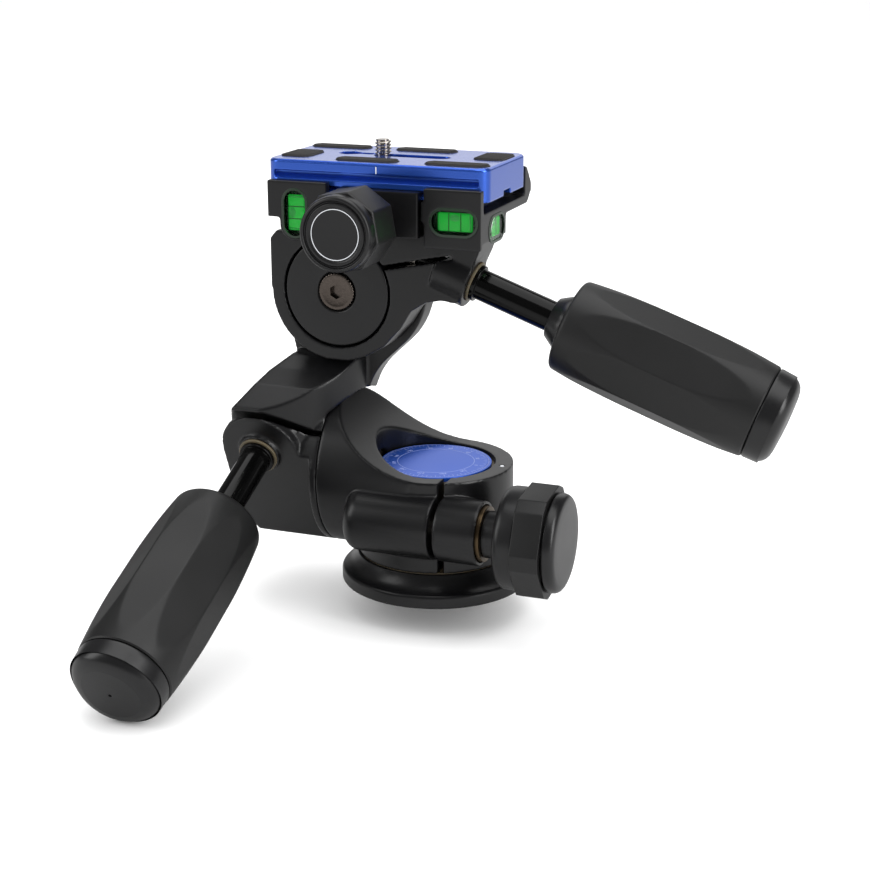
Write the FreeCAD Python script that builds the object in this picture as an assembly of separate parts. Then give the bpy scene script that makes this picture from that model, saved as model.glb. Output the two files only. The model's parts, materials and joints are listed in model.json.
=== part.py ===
"""Three way pan and tilt head with a quick-release plate and two handles.

Millimetres, +Z up. The origin is the centre of the base's underside, on the pan axis. The plate's
long side and the roll axis run along X, and the tilt axis runs along Y with its cover disc at -Y.
"""
import FreeCAD, Part
import math
import os

V = FreeCAD.Vector

# ---- clearances and shared sizes
run_gap = 0.05          # radial gap of a running fit
thread_gap = 0.05       # radial gap of a screw in its thread
split_w = 2.0           # width of a clamp slot
ring_t = 0.4            # nylon thrust rings of the pan joint
screw_gap = 0.3         # radial gap round a screw's head or its free shank
past = 1.0              # how far a cut starts before a face or runs on behind it
through = 100.0         # reach of a cut with nothing beyond it
socket_share = 0.7      # depth of a hexagon socket as a share of its head

# ---- tripod base
base_r = 37.6
base_rim_h = 5.2
base_bevel = 0.8
base_h = 11.6
base_hollow = 0.36      # share of the rise and run at the middle of the hollow cone
base_neck_r = 31.2
base_groove_in = 15.0
base_groove_out = 30.0
base_groove_d = 1.2
tripod_thread_r = 3.95  # core radius of a 3/8 inch thread
bush_r = 7.0
bush_flange_r = 10.0
bush_flange_t = 2.0
bush_flange_z = 8.0
bush_top = 16.0

# ---- pan joint
collar_r = 30.7
collar_wall = 7.2
collar_rim_z = 48.5
rib_h = 6.0
rib_wall = 4.5
sleeve_wall = 1.5
drum_top = 46.5
drum_hollow_r = 9.0
drum_hollow_floor = 20.0
disc_r = 22.1
disc_t = 1.6
drum_screw_pitch_r = 14.5
drum_screw_r = 2.0
drum_screw_head_r = 3.6
drum_screw_head_h = 3.6
drum_screw_foot = 3.0
drum_screw_head_z = 42.0
drum_socket_flat = 3.0
drum_socket_d = 2.0
sleeve_drop = 0.2
lower_ring_inset = 1.2
lower_ring_gap = 0.3
disc_rim = 0.4

# ---- roll joint
roll_z = 43.2
roll_face_x = -38.4
roll_axle_r = 14.0
roll_spigot_r = 12.0
roll_spigot_l = 10.4
roll_axle_l = 32.8
roll_screw_r = 4.0
roll_screw_head_r = 6.5
roll_screw_head_h = 3.2
roll_screw_l = 26.0
roll_screw_room = 0.8
roll_socket_flat = 6.0
roll_retainer_r = 18.0
roll_retainer_t = 2.0
roll_slip = 0.2
retainer_screw_r = 3.0
retainer_screw_head_r = 6.0
retainer_screw_head_h = 3.0
retainer_screw_l = 14.0
retainer_socket_flat = 5.0
end_cap_r = 18.4
end_cap_t = 2.0
roll_shell_x = -79.0

# ---- scoop over the scale disc
scoop_r = 46.0
scoop_x = 5.0
index_r = 0.8
index_d = 1.0
index_y = 1.4
index_proud = 0.1

# ---- pan clamp and its knob
barrel_y = -28.5
barrel_z = 31.0
barrel_r = 12.5
barrel_x0 = -25.0
barrel_x1 = 30.0
barrel_round = 6.0
pan_slot_x = 12.2
pan_bolt_r = 3.0
pan_bolt_hole = 3.3
pan_bolt_tip = -19.0
insert_r = 5.0
insert_x0 = -20.0
insert_x1 = -8.0
knob_washer_r = 10.8
knob_washer_t = 3.0
knob_washer_seat = 1.5
knob_washer_gap = 0.2
knob_neck_r = 9.0
knob_flange_x = 38.5
knob_flange_r = 19.7
knob_flange_t = 8.0
knob_flange_round = 3.0
knob_core_r = 15.5
knob_ring_flat = 19.9
knob_ring_t = 11.0
knob_ring_flats = 6
knob_ring_span = math.radians(44.5)   # each wide flat; narrow ones fill the rest
knob_ring_turn = math.radians(35.6)
knob_cap_r = 18.9
knob_cap_t = 5.0
knob_cap_round = 3.6
knob_cap_spigot_l = 3.0
knob_bolt_head_r = 5.5
knob_bolt_head_l = 10.0

# ---- roll casting
roll_flange_t = 3.0
roll_root = (-62.4, -29.5, 53.6)
roll_boss_r = 16.5
roll_boss_l = 18.0
roll_seat_r = 8.6       # raised seat on the boss, under the handle's washer
roll_seat_h = 1.9
roll_slit_angle = 37.5
boss_proud = 2.5        # how far the boss stands in front of the jaw beside it
crown_lip_h = 2.5
block_front_y = -34.6
block_bend_x = -60.0
block_side = (-44.5, -26.5)
block_top_z = 88.3
crown_crease = (-24.0, 79.5)
crown_shoulder = (-14.0, 84.0)
crown_top_y = -6.0
pan_swing_gap = 0.5
arm_x0 = -60.0
arm_x1 = -30.0
arm_foot_drop = 4.0
arm_fillet_z = 71.6
arm_fillet_mid = (0.43, 0.607)
arm_shoulder_out = 1.2  # how far outside the arm's disc its right shoulder lies
arm_shoulder_turn = math.radians(27.5)
shell_foot = (8.0, 12.0)
shell_side_z = 61.0
shell_shoulder = (-64.5, 83.0)
crown_left_x = -58.5

# ---- tilt joint
tilt_x = -35.6
tilt_z = 116.3
tilt_front_y = -14.0
tilt_back_y = 1.2
tilt_ring_t = 0.8
tilt_ring_in = 16.0
tilt_ring_out = 26.0
tilt_hub_r = 27.3
tilt_axle_r = 15.0
tilt_spigot_r = 10.0
tilt_spigot_l = 7.0
tilt_disc_r = 21.2
tilt_disc_t = 4.5
tilt_disc_gap = 0.8
tilt_disc_edge = 0.6
arm_r = 31.0
arm_t = 10.0
arm_swing_gap = 1.0
pivot_head_r = 7.35
pivot_head_h = 3.2
pivot_proud = 0.5
pivot_r = 4.0
pivot_l = 22.0
pivot_socket_flat = 5.0

# ---- platform on top of the tilt body
plat_x0 = -57.0
plat_x1 = 27.5
plat_y0 = -28.0
plat_y1 = 32.7
plat_under_z = 148.0
seat_z = 155.2
lip_t = 3.9
front_lip_z = 160.3
left_lip_x = -33.0
right_lip_x = 5.5
right_block_z = 138.4
right_block_y = 1.8
right_end_z = 151.5
right_end_l = 5.5
left_block_z = 146.4
rear_jaw_top_w = 3.0
rear_jaw_z = 161.6
rear_wall_z = 162.8
rear_jaw_x0 = -52.0
rear_jaw_x1 = 27.5
body_top_z = 149.0
body_left = [(-63.4, 135.5), (-60.4, 138.8), (-54.0, 138.8)]
body_right_x = 26.0
body_right = [(22.0, 134.9), (13.0, 115.2), (7.0, 115.9)]
body_low = [(1.0, 114.6), (-5.1, 110.7), (-9.3, 103.7), (-16.3, 96.0), (-24.0, 91.5)]
body_back_x = (-4.0, -1.0)
deck_under_cut = (6.0, 5.0)
boss_back_y = 4.6
boss_r = 10.6
boss_l = 14.0
handle_room = 20.0
slot_from = (-17.2, 126.7)
slot_to = (11.5, 132.7)   # it ends inside, where the handle's boss begins
slot_t = 1.6
slot_reach = 8.0

# ---- level vials
vial_l = 18.0
vial_w = 9.6
vial_depth = 8.4
vial_lens_t = 1.2
vial_lens_inset = 0.2
vial_cell_r = 3.4
vial_cell_l = 14.0
left_vial = (-45.9, 148.2)
front_vial = (17.1, 148.3)
side_vial = (-9.4, 144.3)
vial_housing_w = 12.6
vial_housing_foot = 3.0

# ---- quick-release jaw, its knob and the plate
jaw_x0 = -29.0
jaw_x1 = 3.3
jaw_z0 = 141.5
jaw_top_z = 158.4
jaw_t = 7.6
jaw_side_gap = 1.0
jaw_lip_z = 158.4
jaw_lip_reach = 2.2
jaw_back_gap = 0.3
jaw_lip_gap = 0.15
jaw_seat_gap = 0.2
rear_lip_x0 = -44.0
rear_lip_x1 = 18.5
knob2_x = -15.0
knob2_z = 147.6
spindle_r = 3.5
spindle_head_r = 7.0
spindle_tip_y = -3.0
spindle_head_y = -46.0
spindle_head_t = 3.0
knob2_back_y = -38.0
knob2_body_l = 19.0
knob2_flat = 13.9
knob2_turn = math.radians(10)
knob2_neck_r = 10.0
knob2_stop_gap = 0.4
knob2_web = 3.0
thrust_t = 2.4
spline_gap = 0.25
knob2_face_r = 13.7
knob2_face_t = 5.0
knob2_face_round = 2.2
knob2_press = 2.0
spring2_r = 6.0
spring2_wall = 1.2
spring2_room = 0.5
pin_r = 2.0
pin_off = 12.0
pin_l = 14.0
pin_z = 151.0
jaw_pin_inset = 2.0
spring_wall = 0.8
spring_gap = 0.2
spring_l = 3.0
boss2_w = 7.0

plate_x0 = -59.3
plate_x1 = 28.2
plate_y0 = -23.7
plate_y1 = 24.2
plate_h = 12.4
plate_corner = 5.0
plate_edge = 0.8
groove_z0 = 5.3
groove_z1 = 8.4
groove_d = 2.6
groove_slope = 0.64
groove_end = 3.2
hook_z0 = 0.9           # the low groove that the jaws hook into, above the plate's foot
hook_z1 = 3.35
plate_channel_w = 8.0
plate_channel_d = 1.9
screw_slot_x0 = -25.0
screw_slot_x1 = 5.5
screw_slot_w = 6.7
screw_well_w = 15.0
screw_well_d = 6.0
key_x = -35.5
key_y = 1.5
key_flat = 3.9
key_l = 9.6
key_slot_w = 3.4
pad_t = 1.2
pad_recess = 0.5
side_pads = [(29.8, -16.3), (-5.7, -16.3)]
side_pad_l = 25.0
side_pad_w = 8.0
end_pad = (36.0, 7.5)
end_pad_l = 18.0
end_pad_w = 12.5
end_pad_corner = 4.0

screw_x = -21.5
screw_y = 0.2
camera_thread_r = 3.175
camera_thread_top = 6.0
camera_thread_edge = 0.6
camera_neck_r = 2.7     # thin neck that keeps the screw in the plate
camera_neck_over = 0.2
camera_head_r = 6.3
camera_head_h = 3.0
camera_washer_t = 0.8
camera_washer_over = 0.4
camera_socket_flat = 4.0
camera_socket_d = 2.0

# ---- handles
roll_pitch = 23.5
tilt_pitch = 20.0
rod_r = 5.9
rod_thread_r = 4.0
rod_thread_l = 33.0
rod_washer_r = 7.9
rod_washer_t = 1.0
rod_washer_gap = 0.02
rod_collar_r = 7.1
rod_collar_l = 1.6
rod_end_inset = 6.0
rod_hole_gap = 0.2
rod_hole_over = 3.0
grip_start = 39.5
grip_end = 117.2
grip_r = 17.7           # at both ends
grip_swell = 2.1        # how much thicker the grip is at its middle
grip_bore = 6.0
grip_round = 1.6
grip_flats = 8
grip_flat = 18.2        # distance of the flats from the axis
roll_grip_turn = math.radians(37)
tilt_grip_turn = math.radians(16)
ferrule_l = 6.5
ferrule_r0 = 7.6
ferrule_r1 = 11.0
handle_end = 127.6
handle_cap_r = 17.4
handle_cap_round = 6.5
handle_cap_spigot = 4.0
nut_r = 5.2
nut_l = 9.0
tilt_root = (17.4, -5.5, 122.6)
roll_nut_t = 14.0
tilt_nut_t = 23.0

# ---- derived sizes
bore_r = collar_r - collar_wall
rib_r = bore_r - rib_wall
neck_r = rib_r - run_gap
sleeve_r = bore_r - run_gap
drum_r = sleeve_r - sleeve_wall
collar_z = base_h + ring_t
rib_top = collar_z + rib_h
head_z = rib_top + ring_t
hub_r = roll_z - collar_z
roll_axle_end = roll_face_x - roll_axle_l
roll_head_x = -bore_r - roll_screw_head_h - roll_screw_room  # where the axle screw's head bears
knob_core_end = knob_flange_x + knob_flange_t + knob_ring_t
arm_y0 = tilt_back_y + tilt_ring_t
arm_y1 = arm_y0 + arm_t
thrust_y = plat_y0 - thrust_t
index_place = (collar_r - collar_wall / 2, index_y)
plate_top = seat_z + plate_h
roll_dir = V(0, -math.cos(math.radians(roll_pitch)), -math.sin(math.radians(roll_pitch)))
tilt_dir = V(math.cos(math.radians(tilt_pitch)), 0, -math.sin(math.radians(tilt_pitch)))


# ---- shape helpers
def point(axis, along, centre):
    """A point whose coordinate on the axis is along; centre holds the other two in X, Y, Z order."""
    a, b = centre
    return {"x": V(along, a, b), "y": V(a, along, b), "z": V(a, b, along)}[axis]


def rod(axis, start, end, r, centre=(0, 0)):
    direction = point(axis, 1, (0, 0))
    return Part.makeCylinder(r, end - start, point(axis, start, centre), direction)


def tube(axis, start, end, r_out, r_in, centre=(0, 0)):
    bore = rod(axis, start - past, end + past, r_in, centre)
    return rod(axis, start, end, r_out, centre).cut(bore)


def box(x0, x1, y0, y1, z0, z1):
    return Part.makeBox(x1 - x0, y1 - y0, z1 - z0, V(x0, y0, z0))


def outline(axis, along, points):
    """A flat face across the axis. A point of four numbers ends an arc through the first two and at
    the last two."""
    edges = []
    last = point(axis, along, points[0][-2:])
    for p in points[1:] + points[:1]:
        end = point(axis, along, p[-2:])
        if len(p) == 4:
            edges.append(Part.Arc(last, point(axis, along, p[:2]), end).toShape())
        elif end.distanceToPoint(last) > 1e-6:
            edges.append(Part.LineSegment(last, end).toShape())
        last = end
    return Part.Face(Part.Wire(edges))


def prism(axis, points, start, end):
    """An outline across the axis, drawn out from start to end."""
    return outline(axis, start, points).extrude(point(axis, end - start, (0, 0)))


def polygon_bar(axis, start, end, flat, sides, centre=(0, 0), turn=0.0):
    """A regular bar; flat is the distance from its axis to a side."""
    r = flat / math.cos(math.pi / sides)
    angles = [turn + 2 * math.pi * (i + 0.5) / sides for i in range(sides)]
    a, b = centre
    return prism(axis, [(a + r * math.cos(t), b + r * math.sin(t)) for t in angles], start, end)


def turned(profile):
    """Turns an outline of (r, h) points about Z."""
    return outline("y", 0, profile).revolve(V(0, 0, 0), V(0, 0, 1), 360)


def placed(shape, origin, direction):
    """Puts a shape built along +Z at origin with its Z along direction."""
    moved = shape.copy()
    moved.Placement = FreeCAD.Placement(V(*origin), FreeCAD.Rotation(V(0, 0, 1), direction))
    return moved


def round_point(r, h, size):
    """The arc of a rounded outer corner at radius r and height h, coming up the side."""
    k = size * (1 - math.sqrt(0.5))
    return (r - k, h - k, r - size, h)


def low_round_point(r, h, size):
    """The arc of a rounded lower outer corner at radius r and height h, going up the side."""
    k = size * (1 - math.sqrt(0.5))
    return (r - k, h + k, r, h + size)


def stadium(axis, start, end, length, width, centre, upright):
    """A slot shape: a bar with two round ends, drawn out along the axis."""
    a, b = centre
    half = (length - width) / 2
    da, db = (0, half) if upright else (half, 0)
    wa, wb = (width / 2, half) if upright else (half, width / 2)
    corners = [(a - wa, b - wb), (a + wa, b - wb), (a + wa, b + wb), (a - wa, b + wb)]
    bar = prism(axis, corners, start, end)
    ends = [rod(axis, start, end, width / 2, (a + s * da, b + s * db)) for s in (-1, 1)]
    return bar.fuse(ends).removeSplitter()


def save(name, *solids):
    """Writes one node; a node of several solids is a group of like pieces."""
    parts = [s for shape in solids for s in shape.Solids]
    shape = parts[0] if len(parts) == 1 else Part.makeCompound(parts)
    print(name, len(parts), "solid(s)", round(shape.Volume), "mm3", "" if shape.isValid() else "INVALID")
    shape.exportStep("parts/" + name + ".step")


# ---- base, fixed on the tripod
def drum_screw_places():
    angles = [math.radians(90 + 120 * i) for i in range(3)]
    return [(drum_screw_pitch_r * math.cos(a), drum_screw_pitch_r * math.sin(a)) for a in angles]


def base_flange():
    dr = base_r - base_neck_r
    dz = base_h - base_rim_h
    body = turned([(0, 0), (base_r - base_bevel, 0), (base_r, base_bevel), (base_r, base_rim_h),
                   (base_neck_r + base_hollow * dr, base_rim_h + base_hollow * dz, base_neck_r, base_h),
                   (0, base_h)])
    cuts = [tube("z", -past, base_groove_d, base_groove_out, base_groove_in),
            rod("z", -past, bush_flange_z, bush_r),
            rod("z", bush_flange_z, base_h + past, bush_flange_r)]
    cuts += [rod("z", drum_screw_foot - past, base_h + past, drum_screw_r + thread_gap, c)
             for c in drum_screw_places()]
    return body.cut(cuts)


def thread_bush():
    flange = rod("z", bush_flange_z, bush_flange_z + bush_flange_t, bush_flange_r)
    return rod("z", 0, bush_top, bush_r).fuse(flange).cut(
        rod("z", -past, bush_top + past, tripod_thread_r))


def base_drum():
    spigot = rod("z", bush_flange_z + bush_flange_t, base_h, bush_flange_r)
    neck = rod("z", base_h, head_z, neck_r)
    head = rod("z", head_z, drum_top, drum_r)
    cuts = [rod("z", 0, bush_top + past, bush_r + run_gap),
            rod("z", drum_hollow_floor, drum_top + past, drum_hollow_r)]
    for c in drum_screw_places():
        cuts.append(rod("z", 0, drum_top, drum_screw_r + 2 * thread_gap, c))
        cuts.append(rod("z", drum_screw_head_z, drum_top + past, drum_screw_head_r + screw_gap, c))
    return spigot.fuse([neck, head]).cut(cuts).removeSplitter()


def drum_screws():
    screws = []
    for c in drum_screw_places():
        head_top = drum_screw_head_z + drum_screw_head_h
        head = rod("z", drum_screw_head_z, head_top, drum_screw_head_r, c)
        shank = rod("z", drum_screw_foot, drum_screw_head_z, drum_screw_r, c)
        socket = polygon_bar("z", head_top - drum_socket_d, head_top + past, drum_socket_flat / 2, 6, c)
        screws.append(head.fuse(shank).cut(socket))
    return screws


def build_base():
    save("base_flange", base_flange())
    save("tripod_thread_bush", thread_bush())
    save("base_drum", base_drum())
    save("drum_screws", *drum_screws())
    save("drum_sleeve", tube("z", head_z + ring_t, drum_top - sleeve_drop, sleeve_r, drum_r))
    save("lower_thrust_ring", tube("z", base_h, collar_z, base_neck_r - lower_ring_inset,
                                   neck_r + lower_ring_gap))
    save("upper_thrust_ring", tube("z", rib_top, head_z, sleeve_r, neck_r + run_gap))
    top = drum_top + disc_t
    disc = turned([(0, drum_top), (disc_r, drum_top), (disc_r, top - disc_rim),
                   (disc_r - disc_rim, top), (0, top)])
    save("pan_scale_disc", disc)


# ---- pan body
def pan_casting():
    top = roll_z + hub_r + 1
    collar = rod("z", collar_z, top, collar_r)
    hub = rod("x", roll_face_x, 0, hub_r, (0, roll_z))
    barrel = rod("x", barrel_x0, barrel_x1, barrel_r, (barrel_y, barrel_z))
    left_edge = [e for e in barrel.Edges if abs(e.CenterOfMass.x - barrel_x0) < 0.01]
    barrel = barrel.makeFillet(barrel_round, left_edge)
    scoop = rod("y", -through, through, scoop_r, (scoop_x, collar_rim_z + scoop_r))
    above = box(scoop_x, through, -through, through, collar_rim_z, through)
    cuts = [scoop, above,
            rod("z", rib_top, top + past, bore_r),
            rod("z", collar_z - past, rib_top, rib_r),
            box(pan_slot_x - split_w / 2, pan_slot_x + split_w / 2, barrel_y - barrel_r - past, -rib_r / 2,
                collar_z - past, top),
            rod("x", insert_x0, barrel_x1 + past, pan_bolt_hole, (barrel_y, barrel_z)),
            rod("x", insert_x0, insert_x1, insert_r, (barrel_y, barrel_z)),
            rod("x", barrel_x1 - knob_washer_seat, barrel_x1 + past, knob_washer_r + knob_washer_gap,
                (barrel_y, barrel_z)),
            rod("x", roll_face_x - past, roll_face_x + roll_spigot_l, roll_spigot_r, (0, roll_z)),
            rod("x", roll_face_x, 0, roll_screw_r + screw_gap, (0, roll_z)),
            rod("x", roll_head_x, 0, roll_screw_head_r + screw_gap, (0, roll_z)),
            rod("z", collar_rim_z - index_d, collar_rim_z + past, index_r, index_place)]
    return collar.fuse([hub, barrel]).cut(cuts).removeSplitter()


def roll_axle():
    centre = (0, roll_z)
    spigot = rod("x", roll_face_x, roll_face_x + roll_spigot_l, roll_spigot_r, centre)
    drum = rod("x", roll_axle_end, roll_face_x, roll_axle_r - run_gap, centre)
    screw_hole = rod("x", roll_head_x - roll_screw_l - past, 0, roll_screw_r + thread_gap, centre)
    end_hole = rod("x", roll_axle_end - past, roll_axle_end + retainer_screw_l + past,
                   retainer_screw_r + thread_gap, centre)
    return spigot.fuse(drum).cut([screw_hole, end_hole]).removeSplitter()


def cap_screw(axis, bearing, side, head_r, head_h, shank_r, length, centre, socket_flat):
    """A socket screw; side is +1 where its head stands on the plus side of the bearing face."""
    lo, hi = sorted((bearing, bearing + side * head_h))
    head = rod(axis, lo, hi, head_r, centre)
    lo, hi = sorted((bearing - side * length, bearing))
    shank = rod(axis, lo, hi, shank_r, centre)
    depth = head_h * socket_share
    lo, hi = sorted((bearing + side * (head_h - depth), bearing + side * (head_h + past)))
    return head.fuse(shank).cut(polygon_bar(axis, lo, hi, socket_flat, 6, centre)).removeSplitter()


def build_pan_body():
    save("pan_casting", pan_casting())
    save("roll_axle", roll_axle())
    centre = (0, roll_z)
    save("roll_axle_screw", cap_screw("x", roll_head_x, 1, roll_screw_head_r, roll_screw_head_h,
                                      roll_screw_r, roll_screw_l, centre, roll_socket_flat / 2))
    ring_x = roll_axle_end - roll_retainer_t
    save("roll_retainer_ring", tube("x", ring_x, roll_axle_end, roll_retainer_r,
                                    retainer_screw_r + screw_gap, centre))
    save("roll_retainer_screw", cap_screw("x", ring_x, -1, retainer_screw_head_r,
                                          retainer_screw_head_h, retainer_screw_r,
                                          retainer_screw_l, centre, retainer_socket_flat / 2))
    save("pan_clamp_insert", tube("x", insert_x0, insert_x1, insert_r, pan_bolt_r + thread_gap,
                                  (barrel_y, barrel_z)))
    save("pan_index_dot", rod("z", collar_rim_z - index_d, collar_rim_z + index_proud, index_r,
                              index_place))


# ---- pan locking knob
def knob_ring_outline():
    """Corners of the grip ring: wide flats with a narrow flat between each two."""
    corner_r = knob_ring_flat / math.cos(knob_ring_span / 2)
    points = []
    for i in range(knob_ring_flats):
        middle = knob_ring_turn + 2 * math.pi * i / knob_ring_flats
        for angle in (middle - knob_ring_span / 2, middle + knob_ring_span / 2):
            points.append((barrel_y + corner_r * math.cos(angle), barrel_z + corner_r * math.sin(angle)))
    return points


def build_pan_knob():
    centre = (barrel_y, barrel_z)
    along_x = V(1, 0, 0)
    origin = (0, barrel_y, barrel_z)
    washer_x = barrel_x1 - knob_washer_seat
    neck_x = washer_x + knob_washer_t
    flange_end = knob_flange_x + knob_flange_t
    head_x = knob_core_end - knob_bolt_head_l
    bolt = rod("x", pan_bolt_tip, head_x, pan_bolt_r, centre)
    save("pan_knob_bolt", bolt.fuse(polygon_bar("x", head_x, knob_core_end - knob_cap_spigot_l,
                                                knob_bolt_head_r, 6, centre)).removeSplitter())
    save("pan_knob_washer", tube("x", washer_x, neck_x, knob_washer_r,
                                  pan_bolt_r + screw_gap, centre))
    hub = turned([(0, neck_x), (knob_neck_r, neck_x), (knob_neck_r, knob_flange_x),
                  (knob_flange_r - knob_flange_round, knob_flange_x),
                  low_round_point(knob_flange_r, knob_flange_x, knob_flange_round),
                  (knob_flange_r, flange_end), (knob_core_r, flange_end),
                  (knob_core_r, knob_core_end), (0, knob_core_end)])
    hub = placed(hub, origin, along_x)
    cuts = [rod("x", neck_x - past, head_x, pan_bolt_r, centre),
            polygon_bar("x", head_x, knob_core_end + past, knob_bolt_head_r, 6, centre)]
    save("pan_knob_hub", hub.cut(cuts))
    ring = prism("x", knob_ring_outline(), flange_end, knob_core_end)
    save("pan_knob_ring", ring.cut(rod("x", flange_end - past, knob_core_end + past, knob_core_r, centre)))
    cap_end = knob_core_end + knob_cap_t
    cap = turned([(0, knob_core_end), (knob_cap_r, knob_core_end),
                  (knob_cap_r, cap_end - knob_cap_round),
                  round_point(knob_cap_r, cap_end, knob_cap_round), (0, cap_end)])
    save("pan_knob_cap", placed(cap, origin, along_x))


# ---- roll body
def roll_at(up, inward):
    """A point across the roll axis: up the boss's face and inward from it, from the handle's root."""
    return (roll_root[1] + up * roll_dir.z - inward * roll_dir.y,
            roll_root[2] - up * roll_dir.y - inward * roll_dir.z)


def roll_slit():
    """The clamp slot: radial from the axle, rising to the front over the handle's boss."""
    slot = box(roll_shell_x - past, roll_face_x + past, -through, 0, -split_w / 2, split_w / 2)
    slot.rotate(V(0, 0, 0), V(1, 0, 0), -roll_slit_angle)
    slot.translate(V(0, 0, roll_z))
    return slot


def roll_block():
    """The jaw under the clamp slot and the crown over it, which carries the arm."""
    slot_front = (block_front_y, roll_z - block_front_y * math.tan(math.radians(roll_slit_angle)))
    crown = [(0, roll_z), slot_front, roll_at(roll_boss_r + crown_lip_h, boss_proud), crown_crease,
             crown_shoulder, (crown_top_y, block_top_z), (arm_y1, block_top_z), (arm_y1, roll_z)]
    jaw = [(0, roll_z), roll_at(boss_proud - roll_boss_r, boss_proud), roll_at(roll_boss_r, boss_proud)]
    plan = [(roll_shell_x - past, arm_y1 + past), (roll_shell_x - past, block_front_y),
            (block_bend_x, block_front_y), block_side + (arm_x1, arm_y0), (arm_x1, arm_y1 + past)]
    whole = prism("x", crown, roll_shell_x, arm_x1 + past).fuse(prism("x", jaw, roll_root[0], arm_x1 + past))
    return whole.common(prism("z", plan, collar_z, block_top_z + past))


def tangent_point(corner, centre, r, side):
    """Where a line from an outer corner touches a circle; side +1 turns to the left of the centre."""
    dx, dz = centre[0] - corner[0], centre[1] - corner[1]
    away = math.hypot(dx, dz)
    turn = math.atan2(dz, dx) + side * math.asin(r / away)
    length = math.sqrt(away ** 2 - r ** 2)
    return corner[0] + length * math.cos(turn), corner[1] + length * math.sin(turn)


def handle_cylinder(root, direction, start, end, r):
    """A cylinder on a handle's axis; start and end are measured outwards from the handle's root."""
    return placed(Part.makeCylinder(r, end - start), V(*root) + direction * start, direction)


def handle_holes(root, direction, depth):
    """The hole for a handle's threaded end and the seat of its nut, which starts at depth."""
    hole_end = -rod_thread_l - 1
    return [handle_cylinder(root, direction, hole_end, hole_end + rod_thread_l + rod_hole_over,
                            rod_thread_r + rod_hole_gap),
            handle_cylinder(root, direction, -depth - nut_l, -depth, nut_r)]


def roll_arm():
    centre = (tilt_x, tilt_z)
    low = (arm_x0, block_top_z - arm_foot_drop)
    shoulder_r = arm_r + arm_shoulder_out
    high = (tilt_x + shoulder_r * math.sin(arm_shoulder_turn),
            tilt_z - shoulder_r * math.cos(arm_shoulder_turn))
    mid = (arm_x1 + arm_fillet_mid[0] * (high[0] - arm_x1),
           arm_fillet_z + arm_fillet_mid[1] * (high[1] - arm_fillet_z))
    root_z = roll_z + hub_r / 2
    web = [low, (arm_x0, root_z), (arm_x1, root_z), (arm_x1, arm_fillet_z), mid + high,
           tangent_point(high, centre, arm_r, -1), centre, tangent_point(low, centre, arm_r, 1)]
    arm = prism("y", web, arm_y0, arm_y1)
    return arm.fuse(rod("y", arm_y0, arm_y1, arm_r, centre))


def roll_casting():
    side = [(0, collar_z), (roll_shell_x + shell_foot[0], collar_z),
            (roll_shell_x, collar_z + shell_foot[1]), (roll_shell_x, shell_side_z), shell_shoulder,
            (crown_left_x, block_top_z), (0, block_top_z)]
    hub = rod("x", roll_shell_x, roll_face_x, hub_r, (0, roll_z))
    shell = hub.fuse(roll_block()).common(prism("y", side, -through, through))
    boss = handle_cylinder(roll_root, roll_dir, -roll_boss_l, 0, roll_boss_r)
    before_face = box(-through, roll_face_x - roll_flange_t - roll_root[0], -through, through, 0, through)
    cuts = [rod("y", -through, arm_y0, tilt_hub_r + arm_swing_gap, (tilt_x, tilt_z)),
            placed(before_face, roll_root, roll_dir),
            rod("x", roll_face_x, through, hub_r + pan_swing_gap, (0, roll_z)),
            roll_slit(),
            rod("x", roll_axle_end - past, roll_face_x + past, roll_axle_r, (0, roll_z)),
            rod("x", roll_shell_x - past, roll_axle_end + roll_slip, end_cap_r, (0, roll_z)),
            rod("y", arm_y0 - past, arm_y0 + tilt_spigot_l, tilt_spigot_r, (tilt_x, tilt_z)),
            rod("y", arm_y0, arm_y1 - past, pivot_r + thread_gap, (tilt_x, tilt_z)),
            *handle_holes(roll_root, roll_dir, roll_nut_t)]
    casting = shell.fuse([boss, roll_arm()]).cut(cuts)
    seat = handle_cylinder(roll_root, roll_dir, -past, roll_seat_h, roll_seat_r)
    seat = seat.cut(handle_cylinder(roll_root, roll_dir, -2 * past, through, rod_thread_r + rod_hole_gap))
    return casting.fuse(seat).removeSplitter()


def clamp_nut(root, direction, depth):
    nut = handle_cylinder(root, direction, -depth - nut_l, -depth, nut_r)
    bore = handle_cylinder(root, direction, -depth - nut_l - past, past - depth, rod_thread_r + thread_gap)
    return nut.cut(bore)


def tilt_axle():
    centre = (tilt_x, tilt_z)
    drum_y = tilt_front_y + tilt_disc_t
    drum = rod("y", drum_y, arm_y0, tilt_axle_r - run_gap, centre)
    spigot = rod("y", arm_y0, arm_y0 + tilt_spigot_l, tilt_spigot_r, centre)
    hole = rod("y", drum_y - past, arm_y1, pivot_r + 2 * thread_gap, centre)
    return drum.fuse(spigot).cut(hole).removeSplitter()


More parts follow.
